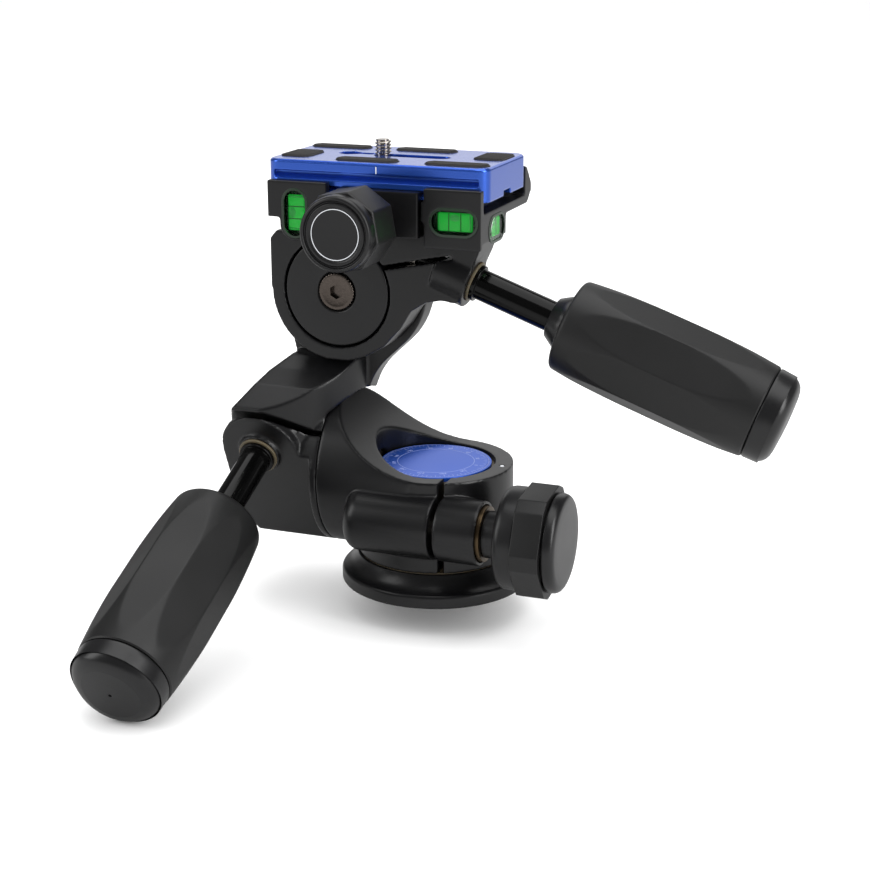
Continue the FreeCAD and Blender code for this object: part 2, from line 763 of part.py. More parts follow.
def build_roll_body():
    centre = (tilt_x, tilt_z)
    save("roll_casting", roll_casting())
    cap = rod("x", roll_shell_x, roll_shell_x + end_cap_t, end_cap_r, (0, roll_z))
    save("roll_end_cap", cap)
    save("roll_clamp_nut", clamp_nut(roll_root, roll_dir, roll_nut_t))
    save("tilt_axle", tilt_axle())
    save("tilt_thrust_ring", tube("y", tilt_back_y, arm_y0, tilt_ring_out, tilt_ring_in, centre))
    head_back = tilt_front_y - pivot_proud + pivot_head_h
    disc = rod("y", tilt_front_y, tilt_front_y + tilt_disc_t, tilt_disc_r, centre)
    front_edge = [e for e in disc.Edges if abs(e.CenterOfMass.y - tilt_front_y) < 0.01]
    disc = disc.makeFillet(tilt_disc_edge, front_edge)
    disc = disc.cut([rod("y", tilt_front_y - past, head_back, pivot_head_r + screw_gap, centre),
                     rod("y", tilt_front_y, arm_y0, pivot_r + 2 * thread_gap, centre)])
    save("tilt_cover_disc", disc)
    save("tilt_pivot_screw", cap_screw("y", head_back, -1, pivot_head_r, pivot_head_h, pivot_r,
                                       pivot_l, centre, pivot_socket_flat / 2))


# ---- handles, the same for roll and tilt but for the turn of their grips
def handle_grip(turn):
    """A barrel with long flats, which run out towards its two ends."""
    foot = grip_start + grip_round
    body = turned([(grip_bore, grip_start), (grip_r - grip_round, grip_start),
                   low_round_point(grip_r, grip_start, grip_round),
                   (grip_r + grip_swell, (foot + grip_end) / 2, grip_r, grip_end),
                   (grip_bore, grip_end)])
    flats = polygon_bar("z", grip_start - past, grip_end + past, grip_flat, grip_flats, turn=turn)
    return body.common(flats)


def build_handle(prefix, root, direction, grip_turn):
    shaft = turned([(0, -rod_thread_l), (rod_thread_r, -rod_thread_l), (rod_thread_r, rod_washer_t),
                    (rod_collar_r, rod_washer_t), (rod_collar_r, rod_washer_t + rod_collar_l),
                    (rod_r, rod_washer_t + rod_collar_l), (rod_r, grip_end - rod_end_inset),
                    (0, grip_end - rod_end_inset)])
    washer = turned([(rod_thread_r, rod_washer_gap), (rod_washer_r, rod_washer_gap),
                     (rod_washer_r, rod_washer_t), (rod_thread_r, rod_washer_t)])
    collar = turned([(rod_r, grip_start - ferrule_l), (ferrule_r0, grip_start - ferrule_l),
                     (ferrule_r1, grip_start), (rod_r, grip_start)])
    cap = turned([(0, grip_end), (handle_cap_r, grip_end), (handle_cap_r, handle_end - handle_cap_round),
                  round_point(handle_cap_r, handle_end, handle_cap_round), (0, handle_end)])
    plug = Part.makeCylinder(grip_bore, handle_cap_spigot, V(0, 0, grip_end - handle_cap_spigot))
    pieces = {"rod": shaft, "washer": washer, "ferrule": collar, "grip": handle_grip(grip_turn),
              "end_cap": cap.fuse(plug).removeSplitter()}
    for name, shape in pieces.items():
        save(prefix + "_handle_" + name, placed(shape, root, direction))


# ---- tilt body with its platform
def platform_body():
    """The hub, the column over it and the arm that reaches the tilt handle."""
    right = [(body_right_x, body_top_z), (body_right_x, right_block_z)] + body_right
    around = [(body_left[0][0], tilt_z)] + body_left + [(body_left[-1][0], body_top_z)] + right
    front = prism("y", around + body_low + [(tilt_x, tilt_z)], tilt_front_y, tilt_back_y)
    front = front.fuse(rod("y", tilt_front_y, tilt_back_y, tilt_hub_r, (tilt_x, tilt_z)))
    behind = [(body_back_x[0], body_top_z)] + right + [(body_back_x[1], body_right[-1][1])]
    back = prism("y", behind, tilt_back_y, boss_back_y)
    swing = rod("y", tilt_back_y, plat_y1 + past, arm_r + arm_swing_gap, (tilt_x, tilt_z))
    return front.fuse(back.cut(swing))


def platform_deck():
    deck = box(plat_x0, plat_x1, plat_y0, plat_y1, plat_under_z, seat_z)
    lip_y = plat_y0 + lip_t
    left_lip = box(plat_x0, left_lip_x, plat_y0, lip_y, seat_z, front_lip_z)
    left_block = box(plat_x0, left_lip_x, plat_y0, tilt_back_y, left_block_z, plat_under_z)
    right_lip = box(right_lip_x, plat_x1, plat_y0, lip_y, seat_z, front_lip_z)
    right_block = box(right_lip_x, plat_x1, plat_y0, right_block_y, right_block_z, plat_under_z)
    wall = plate_y1 + jaw_back_gap
    rear = prism("x", [(wall, seat_z), (plat_y1, seat_z), (wall + rear_jaw_top_w, rear_jaw_z),
                       (wall, rear_wall_z)], rear_jaw_x0, rear_jaw_x1)
    tip = plate_y1 - jaw_lip_reach
    rear_lip = prism("x", [(wall, lip_floor(-jaw_back_gap)), (wall, jaw_lip_z), (tip, jaw_lip_z),
                           (tip, lip_floor(jaw_lip_reach))], rear_lip_x0, rear_lip_x1)
    slant = [(plat_y1 - deck_under_cut[0], plat_under_z - past), (plat_y1 + past, plat_under_z - past),
             (plat_y1 + past, plat_under_z + deck_under_cut[1])]
    under = prism("x", slant, plat_x0 - past, plat_x1 + past)
    housing = stadium("y", plat_y0, tilt_front_y, vial_l + vial_housing_foot, vial_housing_w,
                      left_vial, True)
    housing = housing.common(box(plat_x0, plat_x1, plat_y0, 0, 0, seat_z))
    knob_boss = box(knob2_x - boss2_w, knob2_x + boss2_w, plat_y0 + jaw_t + jaw_back_gap, tilt_front_y,
                    jaw_z0, plat_under_z)
    return deck.cut(under).fuse([left_lip, left_block, right_lip, right_block, rear, rear_lip,
                                housing, knob_boss])


def lip_floor(depth):
    """Height of a jaw lip's underside, at a depth into the plate from its side."""
    return seat_z + hook_z0 + jaw_lip_gap + groove_slope * depth


def jaw_pocket():
    return box(jaw_x0 - jaw_side_gap, jaw_x1 + jaw_side_gap, plat_y0 - past,
               plat_y0 + jaw_t + jaw_back_gap, jaw_z0 - 2, jaw_lip_z + past)


def vial_pockets():
    floor = plat_y0 + vial_depth
    return [stadium("y", plat_y0 - past, floor, vial_l, vial_w, left_vial, True),
            stadium("y", plat_y0 - past, floor, vial_l, vial_w, front_vial, False),
            stadium("x", plat_x1 - vial_depth, plat_x1 + past, vial_l, vial_w, side_vial, False)]


def tilt_slot():
    dx = slot_to[0] - slot_from[0]
    dz = slot_to[1] - slot_from[1]
    length = math.hypot(dx, dz)
    nx, nz = -dz / length * slot_t / 2, dx / length * slot_t / 2
    x0, z0 = slot_from[0] - dx / length * slot_reach, slot_from[1] - dz / length * slot_reach
    x1, z1 = slot_to
    corners = [(x0 - nx, z0 - nz), (x1 - nx, z1 - nz), (x1 + nx, z1 + nz), (x0 + nx, z0 + nz)]
    return prism("y", corners, tilt_front_y - past, boss_back_y + past)


def pin_places():
    """The two guide pins of the jaw, one each side of the knob."""
    return [(knob2_x - pin_off, pin_z), (knob2_x + pin_off, pin_z)]


def platform_casting():
    centre = (tilt_x, tilt_z)
    recess_y = tilt_front_y + tilt_disc_t
    boss = handle_cylinder(tilt_root, tilt_dir, -boss_l, 0, boss_r)
    boss = boss.common(box(-through, through, -through, boss_back_y, 0, 2 * through))
    boss = boss.cut(rod("y", -through, through, arm_r + arm_swing_gap, centre))
    clear_face = placed(box(-handle_room, handle_room, -handle_room, handle_room, 0, handle_room),
                        tilt_root, tilt_dir)
    guide = [rod("y", plat_y0, plat_y0 + pin_l + past, pin_r, c) for c in pin_places()]
    seats = [rod("y", plat_y0, plat_y0 + jaw_t + jaw_back_gap + spring_l, pin_r + spring_wall + spring_gap, c)
             for c in pin_places()]
    cuts = [jaw_pocket(), tilt_slot(), clear_face,
            rod("y", recess_y - through, recess_y, tilt_disc_r + tilt_disc_gap, centre),
            rod("y", recess_y - past, tilt_back_y + past, tilt_axle_r, centre),
            rod("y", plat_y0, spindle_tip_y + past, spindle_r + thread_gap, (knob2_x, knob2_z)),
            *handle_holes(tilt_root, tilt_dir, tilt_nut_t),
            box(plat_x1 - right_end_l, plat_x1 + past, plat_y0 + lip_t, plate_y1 + jaw_back_gap,
                right_end_z, seat_z + past)]
    body = platform_body().fuse([platform_deck(), boss])
    return body.cut(cuts + vial_pockets() + guide + seats).removeSplitter()


def build_vials():
    front = plat_y0 + vial_lens_inset
    back = front + vial_lens_t
    cell_y = plat_y0 + vial_depth - vial_cell_r
    half = vial_cell_l / 2
    a, b = left_vial
    save("left_vial_cell", rod("z", b - half, b + half, vial_cell_r, (a, cell_y)))
    save("left_vial_lens", stadium("y", front, back, vial_l, vial_w, left_vial, True))
    a, b = front_vial
    save("front_vial_cell", rod("x", a - half, a + half, vial_cell_r, (cell_y, b)))
    save("front_vial_lens", stadium("y", front, back, vial_l, vial_w, front_vial, False))
    a, b = side_vial
    cell_x = plat_x1 - vial_depth + vial_cell_r
    side = plat_x1 - vial_lens_inset
    save("side_vial_cell", rod("y", a - half, a + half, vial_cell_r, (cell_x, b)))
    save("side_vial_lens", stadium("x", side - vial_lens_t, side, vial_l, vial_w, side_vial, False))


def build_tilt_body():
    save("platform_casting", platform_casting())
    save("tilt_clamp_nut", clamp_nut(tilt_root, tilt_dir, tilt_nut_t))
    build_vials()
    start = plat_y0 + jaw_t
    end = start + jaw_back_gap + spring_l
    pins = [rod("y", plat_y0 + jaw_pin_inset, plat_y0 + pin_l + past, pin_r, c) for c in pin_places()]
    springs = [tube("y", start, end, pin_r + spring_wall, pin_r + run_gap, c) for c in pin_places()]
    save("jaw_guide_pins", *pins)
    save("jaw_springs", *springs)


# ---- quick-release jaw, spindle and knob
def qr_jaw():
    back = plat_y0 + jaw_t
    wall = plate_y0 - jaw_back_gap
    tip = plate_y0 + jaw_lip_reach
    under = seat_z - jaw_seat_gap
    section = [(plat_y0, jaw_z0), (back, jaw_z0), (back, under), (wall, under),
               (wall, lip_floor(-jaw_back_gap)), (tip, lip_floor(jaw_lip_reach)), (tip, jaw_lip_z),
               (plat_y0, jaw_top_z)]
    body = prism("x", section, jaw_x0, jaw_x1)
    holes = [rod("y", plat_y0 - past, back + past, spindle_r + run_gap, (knob2_x, knob2_z))]
    holes += [rod("y", plat_y0 + jaw_pin_inset - past, back + past, pin_r + run_gap, c) for c in pin_places()]
    return body.cut(holes)


def build_quick_release():
    centre = (knob2_x, knob2_z)
    save("qr_jaw", qr_jaw())
    shaft = rod("y", spindle_head_y, spindle_tip_y, spindle_r, centre)
    head_back = spindle_head_y + spindle_head_t
    head = polygon_bar("y", spindle_head_y, head_back, spindle_head_r, 6, centre)
    thrust = rod("y", thrust_y, plat_y0, spindle_head_r, centre)
    save("qr_spindle", shaft.fuse([head, thrust]).removeSplitter())
    body_front = knob2_back_y - knob2_body_l
    grip = polygon_bar("y", body_front, knob2_back_y, knob2_flat, 8, centre, knob2_turn)
    neck_end = thrust_y - knob2_press - knob2_stop_gap
    neck = rod("y", knob2_back_y, neck_end, knob2_neck_r, centre)
    bore = polygon_bar("y", body_front - past, head_back, spindle_head_r + spline_gap, 6, centre)
    shaft_hole = rod("y", body_front, neck_end + past, spindle_r + run_gap, centre)
    spring_seat = head_back + knob2_web
    relief = rod("y", spring_seat, neck_end + past, spindle_head_r + spring2_room, centre)
    save("qr_knob_grip", grip.fuse(neck).cut([bore, shaft_hole, relief]).removeSplitter())
    spring = tube("y", spring_seat, thrust_y, spring2_r, spring2_r - spring2_wall, centre)
    save("qr_knob_spring", spring)
    face = turned([(0, 0), (knob2_face_r, 0), (knob2_face_r, knob2_face_t - knob2_face_round),
                   round_point(knob2_face_r, knob2_face_t, knob2_face_round), (0, knob2_face_t)])
    save("qr_knob_face", placed(face, (knob2_x, body_front, knob2_z), V(0, -1, 0)))


# ---- quick-release plate and camera screw
def rounded_slab(x0, x1, y0, y1, z0, z1, corner):
    slab = box(x0, x1, y0, y1, z0, z1)
    upright = [e for e in slab.Edges if abs(e.Vertexes[0].Z - e.Vertexes[1].Z) > 0.5 * (z1 - z0)]
    return slab.makeFillet(corner, upright)


def plate_groove(side_y, inward, low, high):
    """A groove along one side, between two heights over the plate's foot; inward is +1 or -1 along Y."""
    z0 = seat_z + low
    z1 = seat_z + high
    floor_y = side_y + inward * groove_d
    section = [(side_y - inward, z0 - groove_slope), (floor_y, z0 + groove_slope * groove_d),
               (floor_y, z1), (side_y - inward, z1)]
    return prism("x", section, plate_x0 + groove_end, plate_x1 - groove_end)


def pad_shapes(height):
    """The six pads, or their recesses. The layout is the same when the plate is turned half round."""
    cx, cy = (plate_x0 + plate_x1) / 2, (plate_y0 + plate_y1) / 2
    z0 = plate_top - pad_recess
    shapes = []
    for side in (1, -1):
        for dx, dy in side_pads:
            centre = (cx + side * dx, cy + side * dy)
            shapes.append(stadium("z", z0, z0 + height, side_pad_l, side_pad_w, centre, False))
        x, y = cx + side * end_pad[0], cy + side * end_pad[1]
        shapes.append(rounded_slab(x - end_pad_w / 2, x + end_pad_w / 2, y - end_pad_l / 2,
                                   y + end_pad_l / 2, z0, z0 + height, end_pad_corner))
    return shapes


def plate_body():
    body = rounded_slab(plate_x0, plate_x1, plate_y0, plate_y1, seat_z, plate_top, plate_corner)
    top_edges = [e for e in body.Edges if abs(e.BoundBox.ZMin - plate_top) < 0.01]
    body = body.makeChamfer(plate_edge, top_edges)
    cuts = [plate_groove(side_y, inward, low, high)
            for side_y, inward in ((plate_y0, 1), (plate_y1, -1))
            for low, high in ((groove_z0, groove_z1), (hook_z0, hook_z1))]
    slot_mid = (screw_slot_x0 + screw_slot_x1) / 2
    slot_l = screw_slot_x1 - screw_slot_x0
    extra = screw_well_w - screw_slot_w
    cuts.append(stadium("z", seat_z - past, plate_top + past, slot_l, screw_slot_w,
                        (slot_mid, screw_y), False))
    cuts.append(stadium("z", seat_z - past, seat_z + screw_well_d, slot_l + extra, screw_well_w,
                        (slot_mid, screw_y), False))
    half = plate_channel_w / 2
    cuts.append(box(plate_x0 - past, plate_x1 + past, screw_y - half, screw_y + half,
                    seat_z - past, seat_z + plate_channel_d))
    cuts.append(polygon_bar("z", seat_z - past, plate_top + past, key_flat, 6, (key_x, key_y)))
    cuts.append(box(key_x, key_x + key_l, key_y - key_slot_w / 2, key_y + key_slot_w / 2,
                    seat_z - past, plate_top + past))
    return body.cut(cuts + pad_shapes(pad_recess + past))


def build_plate():
    save("plate_body", plate_body())
    save("plate_pads", *pad_shapes(pad_t))


def build_camera_screw():
    centre = (screw_x, screw_y)
    well_top = seat_z + screw_well_d
    washer_z = well_top - camera_washer_t
    head_z0 = washer_z - camera_head_h
    top = plate_top + camera_thread_top
    neck_top = plate_top + camera_neck_over
    thread = turned([(0, washer_z), (camera_neck_r, washer_z), (camera_neck_r, neck_top),
                     (camera_thread_r, neck_top), (camera_thread_r, top - camera_thread_edge),
                     (camera_thread_r - camera_thread_edge, top), (0, top)])
    thread = placed(thread, (screw_x, screw_y, 0), V(0, 0, 1))
    head = rod("z", head_z0, washer_z, camera_head_r, centre)
    socket = polygon_bar("z", head_z0 - past, head_z0 + camera_socket_d, camera_socket_flat / 2, 6, centre)
    save("camera_screw", thread.fuse(head).cut(socket).removeSplitter())
    save("camera_screw_washer", tube("z", washer_z, well_top, camera_head_r + camera_washer_over,
                                     camera_thread_r + run_gap, centre))


os.makedirs("parts", exist_ok=True)
build_base()
build_pan_body()
build_pan_knob()
build_roll_body()
build_handle("roll", V(*roll_root) + roll_dir * roll_seat_h, roll_dir, roll_grip_turn)
build_tilt_body()
build_handle("tilt", tilt_root, tilt_dir, tilt_grip_turn)
build_quick_release()
build_plate()
build_camera_screw()
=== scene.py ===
"""Dresses the frame of a three way pan and tilt head: finishes, modelled pieces, studio and camera."""

import json
import math

import bpy
from bpy.props import FloatProperty, FloatVectorProperty, IntProperty, PointerProperty
from mathutils import Matrix, Vector


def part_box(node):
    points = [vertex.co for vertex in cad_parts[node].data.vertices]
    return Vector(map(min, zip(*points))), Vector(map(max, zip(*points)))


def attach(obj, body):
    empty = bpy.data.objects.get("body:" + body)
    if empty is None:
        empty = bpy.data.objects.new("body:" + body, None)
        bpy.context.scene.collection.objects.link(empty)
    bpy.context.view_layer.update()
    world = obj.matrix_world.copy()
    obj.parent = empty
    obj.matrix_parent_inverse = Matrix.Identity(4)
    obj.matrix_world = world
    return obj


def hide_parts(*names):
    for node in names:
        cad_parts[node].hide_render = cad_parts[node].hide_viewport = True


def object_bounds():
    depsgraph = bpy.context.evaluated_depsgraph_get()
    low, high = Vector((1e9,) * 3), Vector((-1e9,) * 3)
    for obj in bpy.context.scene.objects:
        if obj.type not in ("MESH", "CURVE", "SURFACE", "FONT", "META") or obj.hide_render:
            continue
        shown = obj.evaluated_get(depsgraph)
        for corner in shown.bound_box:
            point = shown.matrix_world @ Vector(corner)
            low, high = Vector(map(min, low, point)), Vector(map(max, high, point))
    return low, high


bl_info = {
    "name": "Three Way Head",
    "version": (1, 0, 0),
    "blender": (4, 5, 0),
    "location": "3D View > Sidebar > Head",
    "description": "Models and finishes the visible pieces of a three way pan and tilt head",
    "category": "Mesh",
}

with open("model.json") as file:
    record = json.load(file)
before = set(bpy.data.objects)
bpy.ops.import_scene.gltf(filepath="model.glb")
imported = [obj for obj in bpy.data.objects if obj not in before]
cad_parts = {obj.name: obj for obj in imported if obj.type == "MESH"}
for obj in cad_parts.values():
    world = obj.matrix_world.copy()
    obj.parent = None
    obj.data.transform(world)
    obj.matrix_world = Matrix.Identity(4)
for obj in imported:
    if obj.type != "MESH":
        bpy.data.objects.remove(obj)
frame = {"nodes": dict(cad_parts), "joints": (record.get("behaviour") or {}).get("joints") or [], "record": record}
CAD_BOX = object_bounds()

MM = 0.001
DOUBLE = 0.000002                 # points nearer than this are one point, in metres
CREASE = math.radians(32)         # steeper edges stay sharp in the shading
FINE = 144                        # steps round a large turned piece
COARSE = 72                       # steps round a small turned piece
UP = (0, 0, 1)
RIGHT = (1, 0, 0)
LEFT = (-1, 0, 0)
FRONT = (0, -1, 0)
BACK = (0, 1, 0)


# ---- sizes and colours that a user would change
def length_of(label, text, millimetres):
    """A length property; its default is given in millimetres."""
    return FloatProperty(name=label, description=text, default=millimetres * MM, unit="LENGTH", precision=5)


def colour_of(label, text, default):
    """A colour property, linear red, green and blue."""
    return FloatVectorProperty(name=label, description=text, default=default, subtype="COLOR",
                               min=0.0, max=1.0)


class HeadSizes(bpy.types.PropertyGroup):
    """Sizes of the modelled detail."""
    cast_cell: length_of("Casting cell", "Edge of the cells that a casting is rebuilt from", 0.5)
    cast_passes: IntProperty(name="Casting softness", default=8, min=0,
                             description="Smoothing passes that round the edges of a casting")
    plate_cell: length_of("Plate cell", "Edge of the cells that the plate is rebuilt from", 0.26)
    grip_flat: length_of("Grip flat", "Distance of a grip's long flats from its axis", 18.2)
    grip_swell: length_of("Grip swell", "How much thicker a grip is at its middle than at its ends", 2.1)
    cap_lobe: length_of("Cap lobe", "How far the end cap of a handle dips between its three lobes", 0.7)
    thread_pitch: length_of("Thread pitch", "Pitch of the camera screw's thread", 1.27)
    thread_depth: length_of("Thread depth", "Depth of the camera screw's thread", 0.72)
    mark_height: length_of("Mark height", "How far printed marks stand above the surface", 0.04)


class HeadColours(bpy.types.PropertyGroup):
    """Colours of the finishes."""
    casting: colour_of("Casting", "Satin black paint of the castings", (0.0042, 0.0042, 0.0048))
    plastic: colour_of("Plastic", "Black plastic of the knobs and end caps", (0.0062, 0.0062, 0.0068))
    rubber: colour_of("Rubber", "Black rubber of the grips", (0.0056, 0.0056, 0.0058))
    anodised: colour_of("Anodised", "Blue anodised aluminium", (0.026, 0.115, 0.62))
    pad: colour_of("Pad", "Dark rubber of the plate's pads", (0.022, 0.020, 0.019))
    # This green also drives the levels' painted glow.
    fluid: colour_of("Fluid", "Green of the spirit levels", (0.010, 0.36, 0.035))
    mark: colour_of("Mark", "White of the printed marks", (0.78, 0.80, 0.84))


# ---- picking and editing
def pick(*objects):
    """Makes these objects the selected ones, and the first of them the active one."""
    bpy.ops.object.select_all(action="DESELECT")
    for obj in objects:
        obj.select_set(True)
    bpy.context.view_layer.objects.active = objects[0]


def clear_pick():
    """Deselects everything, so that an operator acts on the new primitive alone."""
    bpy.ops.object.select_all(action="DESELECT")


def newest(name):
    """Names the object that a primitive operator has just added."""
    obj = bpy.context.active_object
    obj.name = name
    obj.data.name = name
    return obj


def close_up(obj):
    """Merges doubles, drops loose edges and turns every face outwards."""
    pick(obj)
    bpy.ops.object.mode_set(mode="EDIT")
    bpy.ops.mesh.select_all(action="SELECT")
    bpy.ops.mesh.remove_doubles(threshold=DOUBLE)
    bpy.ops.mesh.delete_loose()
    bpy.ops.mesh.select_all(action="SELECT")
    bpy.ops.mesh.normals_make_consistent(inside=False)
    bpy.ops.object.mode_set(mode="OBJECT")


def modify(obj, kind, **settings):
    """Adds a modifier with these settings and applies it."""
    pick(obj)
    modifier = obj.modifiers.new(kind.title(), kind)
    for key, value in settings.items():
        setattr(modifier, key, value)
    bpy.ops.object.modifier_apply(modifier=modifier.name)


def cut_away(obj, cutter):
    """Cuts one piece out of another and deletes it."""
    modify(obj, "BOOLEAN", object=cutter, operation="DIFFERENCE", solver="EXACT")
    bpy.data.objects.remove(cutter)


def thin_out(obj, most_triangles):
    """Brings a piece of four sided faces under a number of triangles."""
    triangles = 2 * len(obj.data.polygons)
    if triangles > most_triangles:
        modify(obj, "DECIMATE", ratio=most_triangles / triangles)


def settle(obj, matrix):
    """Moves a piece by a matrix and puts its place in its mesh."""
    obj.matrix_world = matrix
    pick(obj)
    bpy.ops.object.transform_apply(location=True, rotation=True, scale=True)
    return obj


def shift(x, y, z):
    """The matrix of a move, in millimetres."""
    return Matrix.Translation(Vector((x, y, z)) * MM)


def place(obj, origin, direction):
    """Stands a piece that was made along Z on its origin (mm) and turns it to its direction."""
    turn = Vector(UP).rotation_difference(Vector(direction)).to_matrix().to_4x4()
    return settle(obj, shift(*origin) @ turn)


def set_in_face(obj, origin, along, out):
    """Sets a piece made in the XY plane into a face: its X goes along, its Z points out of the face."""
    along, out = Vector(along), Vector(out)
    basis = Matrix((along, out.cross(along), out)).transposed().to_4x4()
    return settle(obj, shift(*origin) @ basis)


def join(name, pieces):
    """Joins pieces into one object."""
    pick(*pieces)
    bpy.ops.object.join()
    return newest(name)


def copy_of(obj, name):
    """A copy of an object with its own mesh."""
    copy = obj.copy()
    copy.data = obj.data.copy()
    copy.name = name
    copy.parent = None
    for key in list(copy.keys()):
        del copy[key]
    bpy.context.scene.collection.objects.link(copy)
    return copy


def fit(obj, finish, body, slot, *nodes):
    """Gives a piece its finish and body, and lets it stand for the frame's nodes. Its slot is not used."""
    obj.data.materials.clear()
    obj.data.materials.append(bpy.data.materials[finish])
    pick(obj)
    bpy.ops.object.shade_smooth_by_angle(angle=CREASE)
    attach(obj, body)
    if nodes:
        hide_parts(*nodes)
    return obj


# ---- outlines
def soften(outline, arc_steps=6):
    """Points of a closed outline. A corner is (a, b), or (a, b, size) where it is rounded off."""
    points = []
    count = len(outline)
    for i, corner in enumerate(outline):
        here = Vector(corner[:2])
        if len(corner) == 2:
            points.append(here)
            continue
        before = (Vector(outline[i - 1][:2]) - here).normalized()
        after = (Vector(outline[(i + 1) % count][:2]) - here).normalized()
        start = here + before * corner[2]
        end = here + after * corner[2]
        for k in range(arc_steps + 1):
            t = k / arc_steps
            points.append((1 - t) ** 2 * start + 2 * t * (1 - t) * here + t * t * end)
    return points


def stadium(length, width, steps=16):
    """Points of a slot outline, long along X, about the origin."""
    r = width / 2
    reach = length / 2 - r
    points = []
    for side in (1, -1):
        for k in range(steps + 1):
            angle = math.pi * k / steps - math.pi / 2
            points.append(Vector((side * (reach + r * math.cos(angle)), side * r * math.sin(angle))))
    return points


def turned(name, outline, steps=COARSE):
    """A piece turned about Z from its closed outline of (radius, height, rounding) corners, in mm."""
    points = soften(outline)
    clear_pick()
    bpy.ops.mesh.primitive_circle_add(vertices=len(points), radius=MM)
    obj = newest(name)
    for vertex, point in zip(obj.data.vertices, points):
        vertex.co = (point.x * MM, 0, point.y * MM)
    bpy.ops.object.mode_set(mode="EDIT")
    bpy.ops.mesh.select_all(action="SELECT")
    bpy.ops.mesh.spin(steps=steps, angle=math.tau, center=(0, 0, 0), axis=UP)
    bpy.ops.object.mode_set(mode="OBJECT")
    close_up(obj)
    return obj


def oblong(x0, y0, x1, y1):
    """The four corners of an oblong."""
    return [(x0, y0), (x1, y0), (x1, y1), (x0, y1)]


def slab(name, points, z0, z1, edge=0.0, edge_steps=3):
    """A flat outline (mm) raised from z0 to z1, its two rims bevelled where edge is given."""
    clear_pick()
    bpy.ops.mesh.primitive_circle_add(vertices=len(points), radius=MM, fill_type="NGON")
    obj = newest(name)
    for vertex, point in zip(obj.data.vertices, points):
        vertex.co = (point[0] * MM, point[1] * MM, z0 * MM)
    bpy.ops.object.mode_set(mode="EDIT")
    bpy.ops.mesh.select_all(action="SELECT")
    bpy.ops.mesh.extrude_region_move(TRANSFORM_OT_translate={"value": (0, 0, (z1 - z0) * MM)})
    if edge:
        bpy.ops.object.mode_set(mode="OBJECT")
        select_rims(obj)
        bpy.ops.object.mode_set(mode="EDIT")
        bpy.ops.mesh.select_mode(type="EDGE")
        bpy.ops.mesh.bevel(offset=edge * MM, segments=edge_steps, affect="EDGES")
    bpy.ops.object.mode_set(mode="OBJECT")
    close_up(obj)
    return obj


def select_rims(obj):
    """Selects the edges that lie level, which are the rims of a slab."""
    mesh = obj.data
    for face in mesh.polygons:
        face.select = False
    for vertex in mesh.vertices:
        vertex.select = False
    for edge in mesh.edges:
        a, b = (mesh.vertices[i].co for i in edge.vertices)
        edge.select = abs(a.z - b.z) < DOUBLE


def reshape(obj, radius_at):
    """Moves each point out or in from the Z axis: radius_at(radius, angle, height), all in mm."""
    for vertex in obj.data.vertices:
        r = math.hypot(vertex.co.x, vertex.co.y) / MM
        if r < 0.01:
            continue
        angle = math.atan2(vertex.co.y, vertex.co.x)
        share = radius_at(r, angle, vertex.co.z / MM) / r
        vertex.co.x *= share
        vertex.co.y *= share
    obj.data.update()


def off_flat(angle, sides, turn=0.0):
    """Angle from the middle of the nearest of a polygon's flats."""
    step = math.tau / sides
    return abs((angle - turn + step / 2) % step - step / 2)


def polygon_radius(angle, sides, flat, corner, turn=0.0):
    """Radius of a polygon with rounded corners; flat is the distance of its flats from the axis."""
    half = math.pi / sides
    off = off_flat(angle, sides, turn)
    tangent = math.atan((flat - corner) * math.tan(half) / flat)
    if off < tangent:
        return flat / math.cos(off)
    reach = (flat - corner) / math.cos(half)
    aside = reach * math.sin(half - off)
    return reach * math.cos(half - off) + math.sqrt(max(corner ** 2 - aside ** 2, 0.0))


def soft_least(a, b, blend):
    """The smaller of two lengths, with a soft passage between them."""
    share = max(blend - abs(a - b), 0.0) / blend
    return min(a, b) - share * share * blend / 4


def corners(node):
    """The lowest and highest corner of a frame node, in millimetres."""
    low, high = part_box(node)
    return low / MM, high / MM


def middle(node):
    """The middle of a frame node, in millimetres."""
    low, high = corners(node)
    return (low + high) / 2


def joint(name):
    """Place (mm) and direction of a frame joint."""
    found = next(j for j in frame["joints"] if j["name"] == name)
    return Vector(found["pos_m"]) / MM, Vector(found["axis"])


# ---- finishes
def set_inputs(node, **values):
    """Sets inputs of a node by their names, with _ for a space."""
    for key, value in values.items():
        node.inputs[key.replace("_", " ")].default_value = value


def new_group(name, inputs, outputs):
    """An empty shader node group with named sockets, each given as name, type and default."""
    group = bpy.data.node_groups.new(name, "ShaderNodeTree")
    for socket_name, kind, default in inputs:
        socket = group.interface.new_socket(socket_name, in_out="INPUT", socket_type=kind)
        if default is not None:
            socket.default_value = default
    for socket_name, kind in outputs:
        group.interface.new_socket(socket_name, in_out="OUTPUT", socket_type=kind)
    return group, group.nodes.new("NodeGroupInput"), group.nodes.new("NodeGroupOutput")


def maths(tree, operation, first, second):
    """A Math node; each input is a socket or a number."""
    node = tree.nodes.new("ShaderNodeMath")
    node.operation = operation
    for socket, value in zip(node.inputs, (first, second)):
        if isinstance(value, (int, float)):
            socket.default_value = value
        else:
            tree.links.new(value, socket)
    return node.outputs[0]


def vector_maths(tree, operation, first):
    """A Vector Math node with its first input linked."""
    node = tree.nodes.new("ShaderNodeVectorMath")
    node.operation = operation
    tree.links.new(first, node.inputs[0])
    return node


def noise(tree, coordinates, scale, detail=3.0):
    """A Noise Texture; coordinates and scale are sockets."""
    node = tree.nodes.new("ShaderNodeTexNoise")
    set_inputs(node, Detail=detail)
    tree.links.new(coordinates, node.inputs["Vector"])
    tree.links.new(scale, node.inputs["Scale"])
    return node.outputs["Fac"]


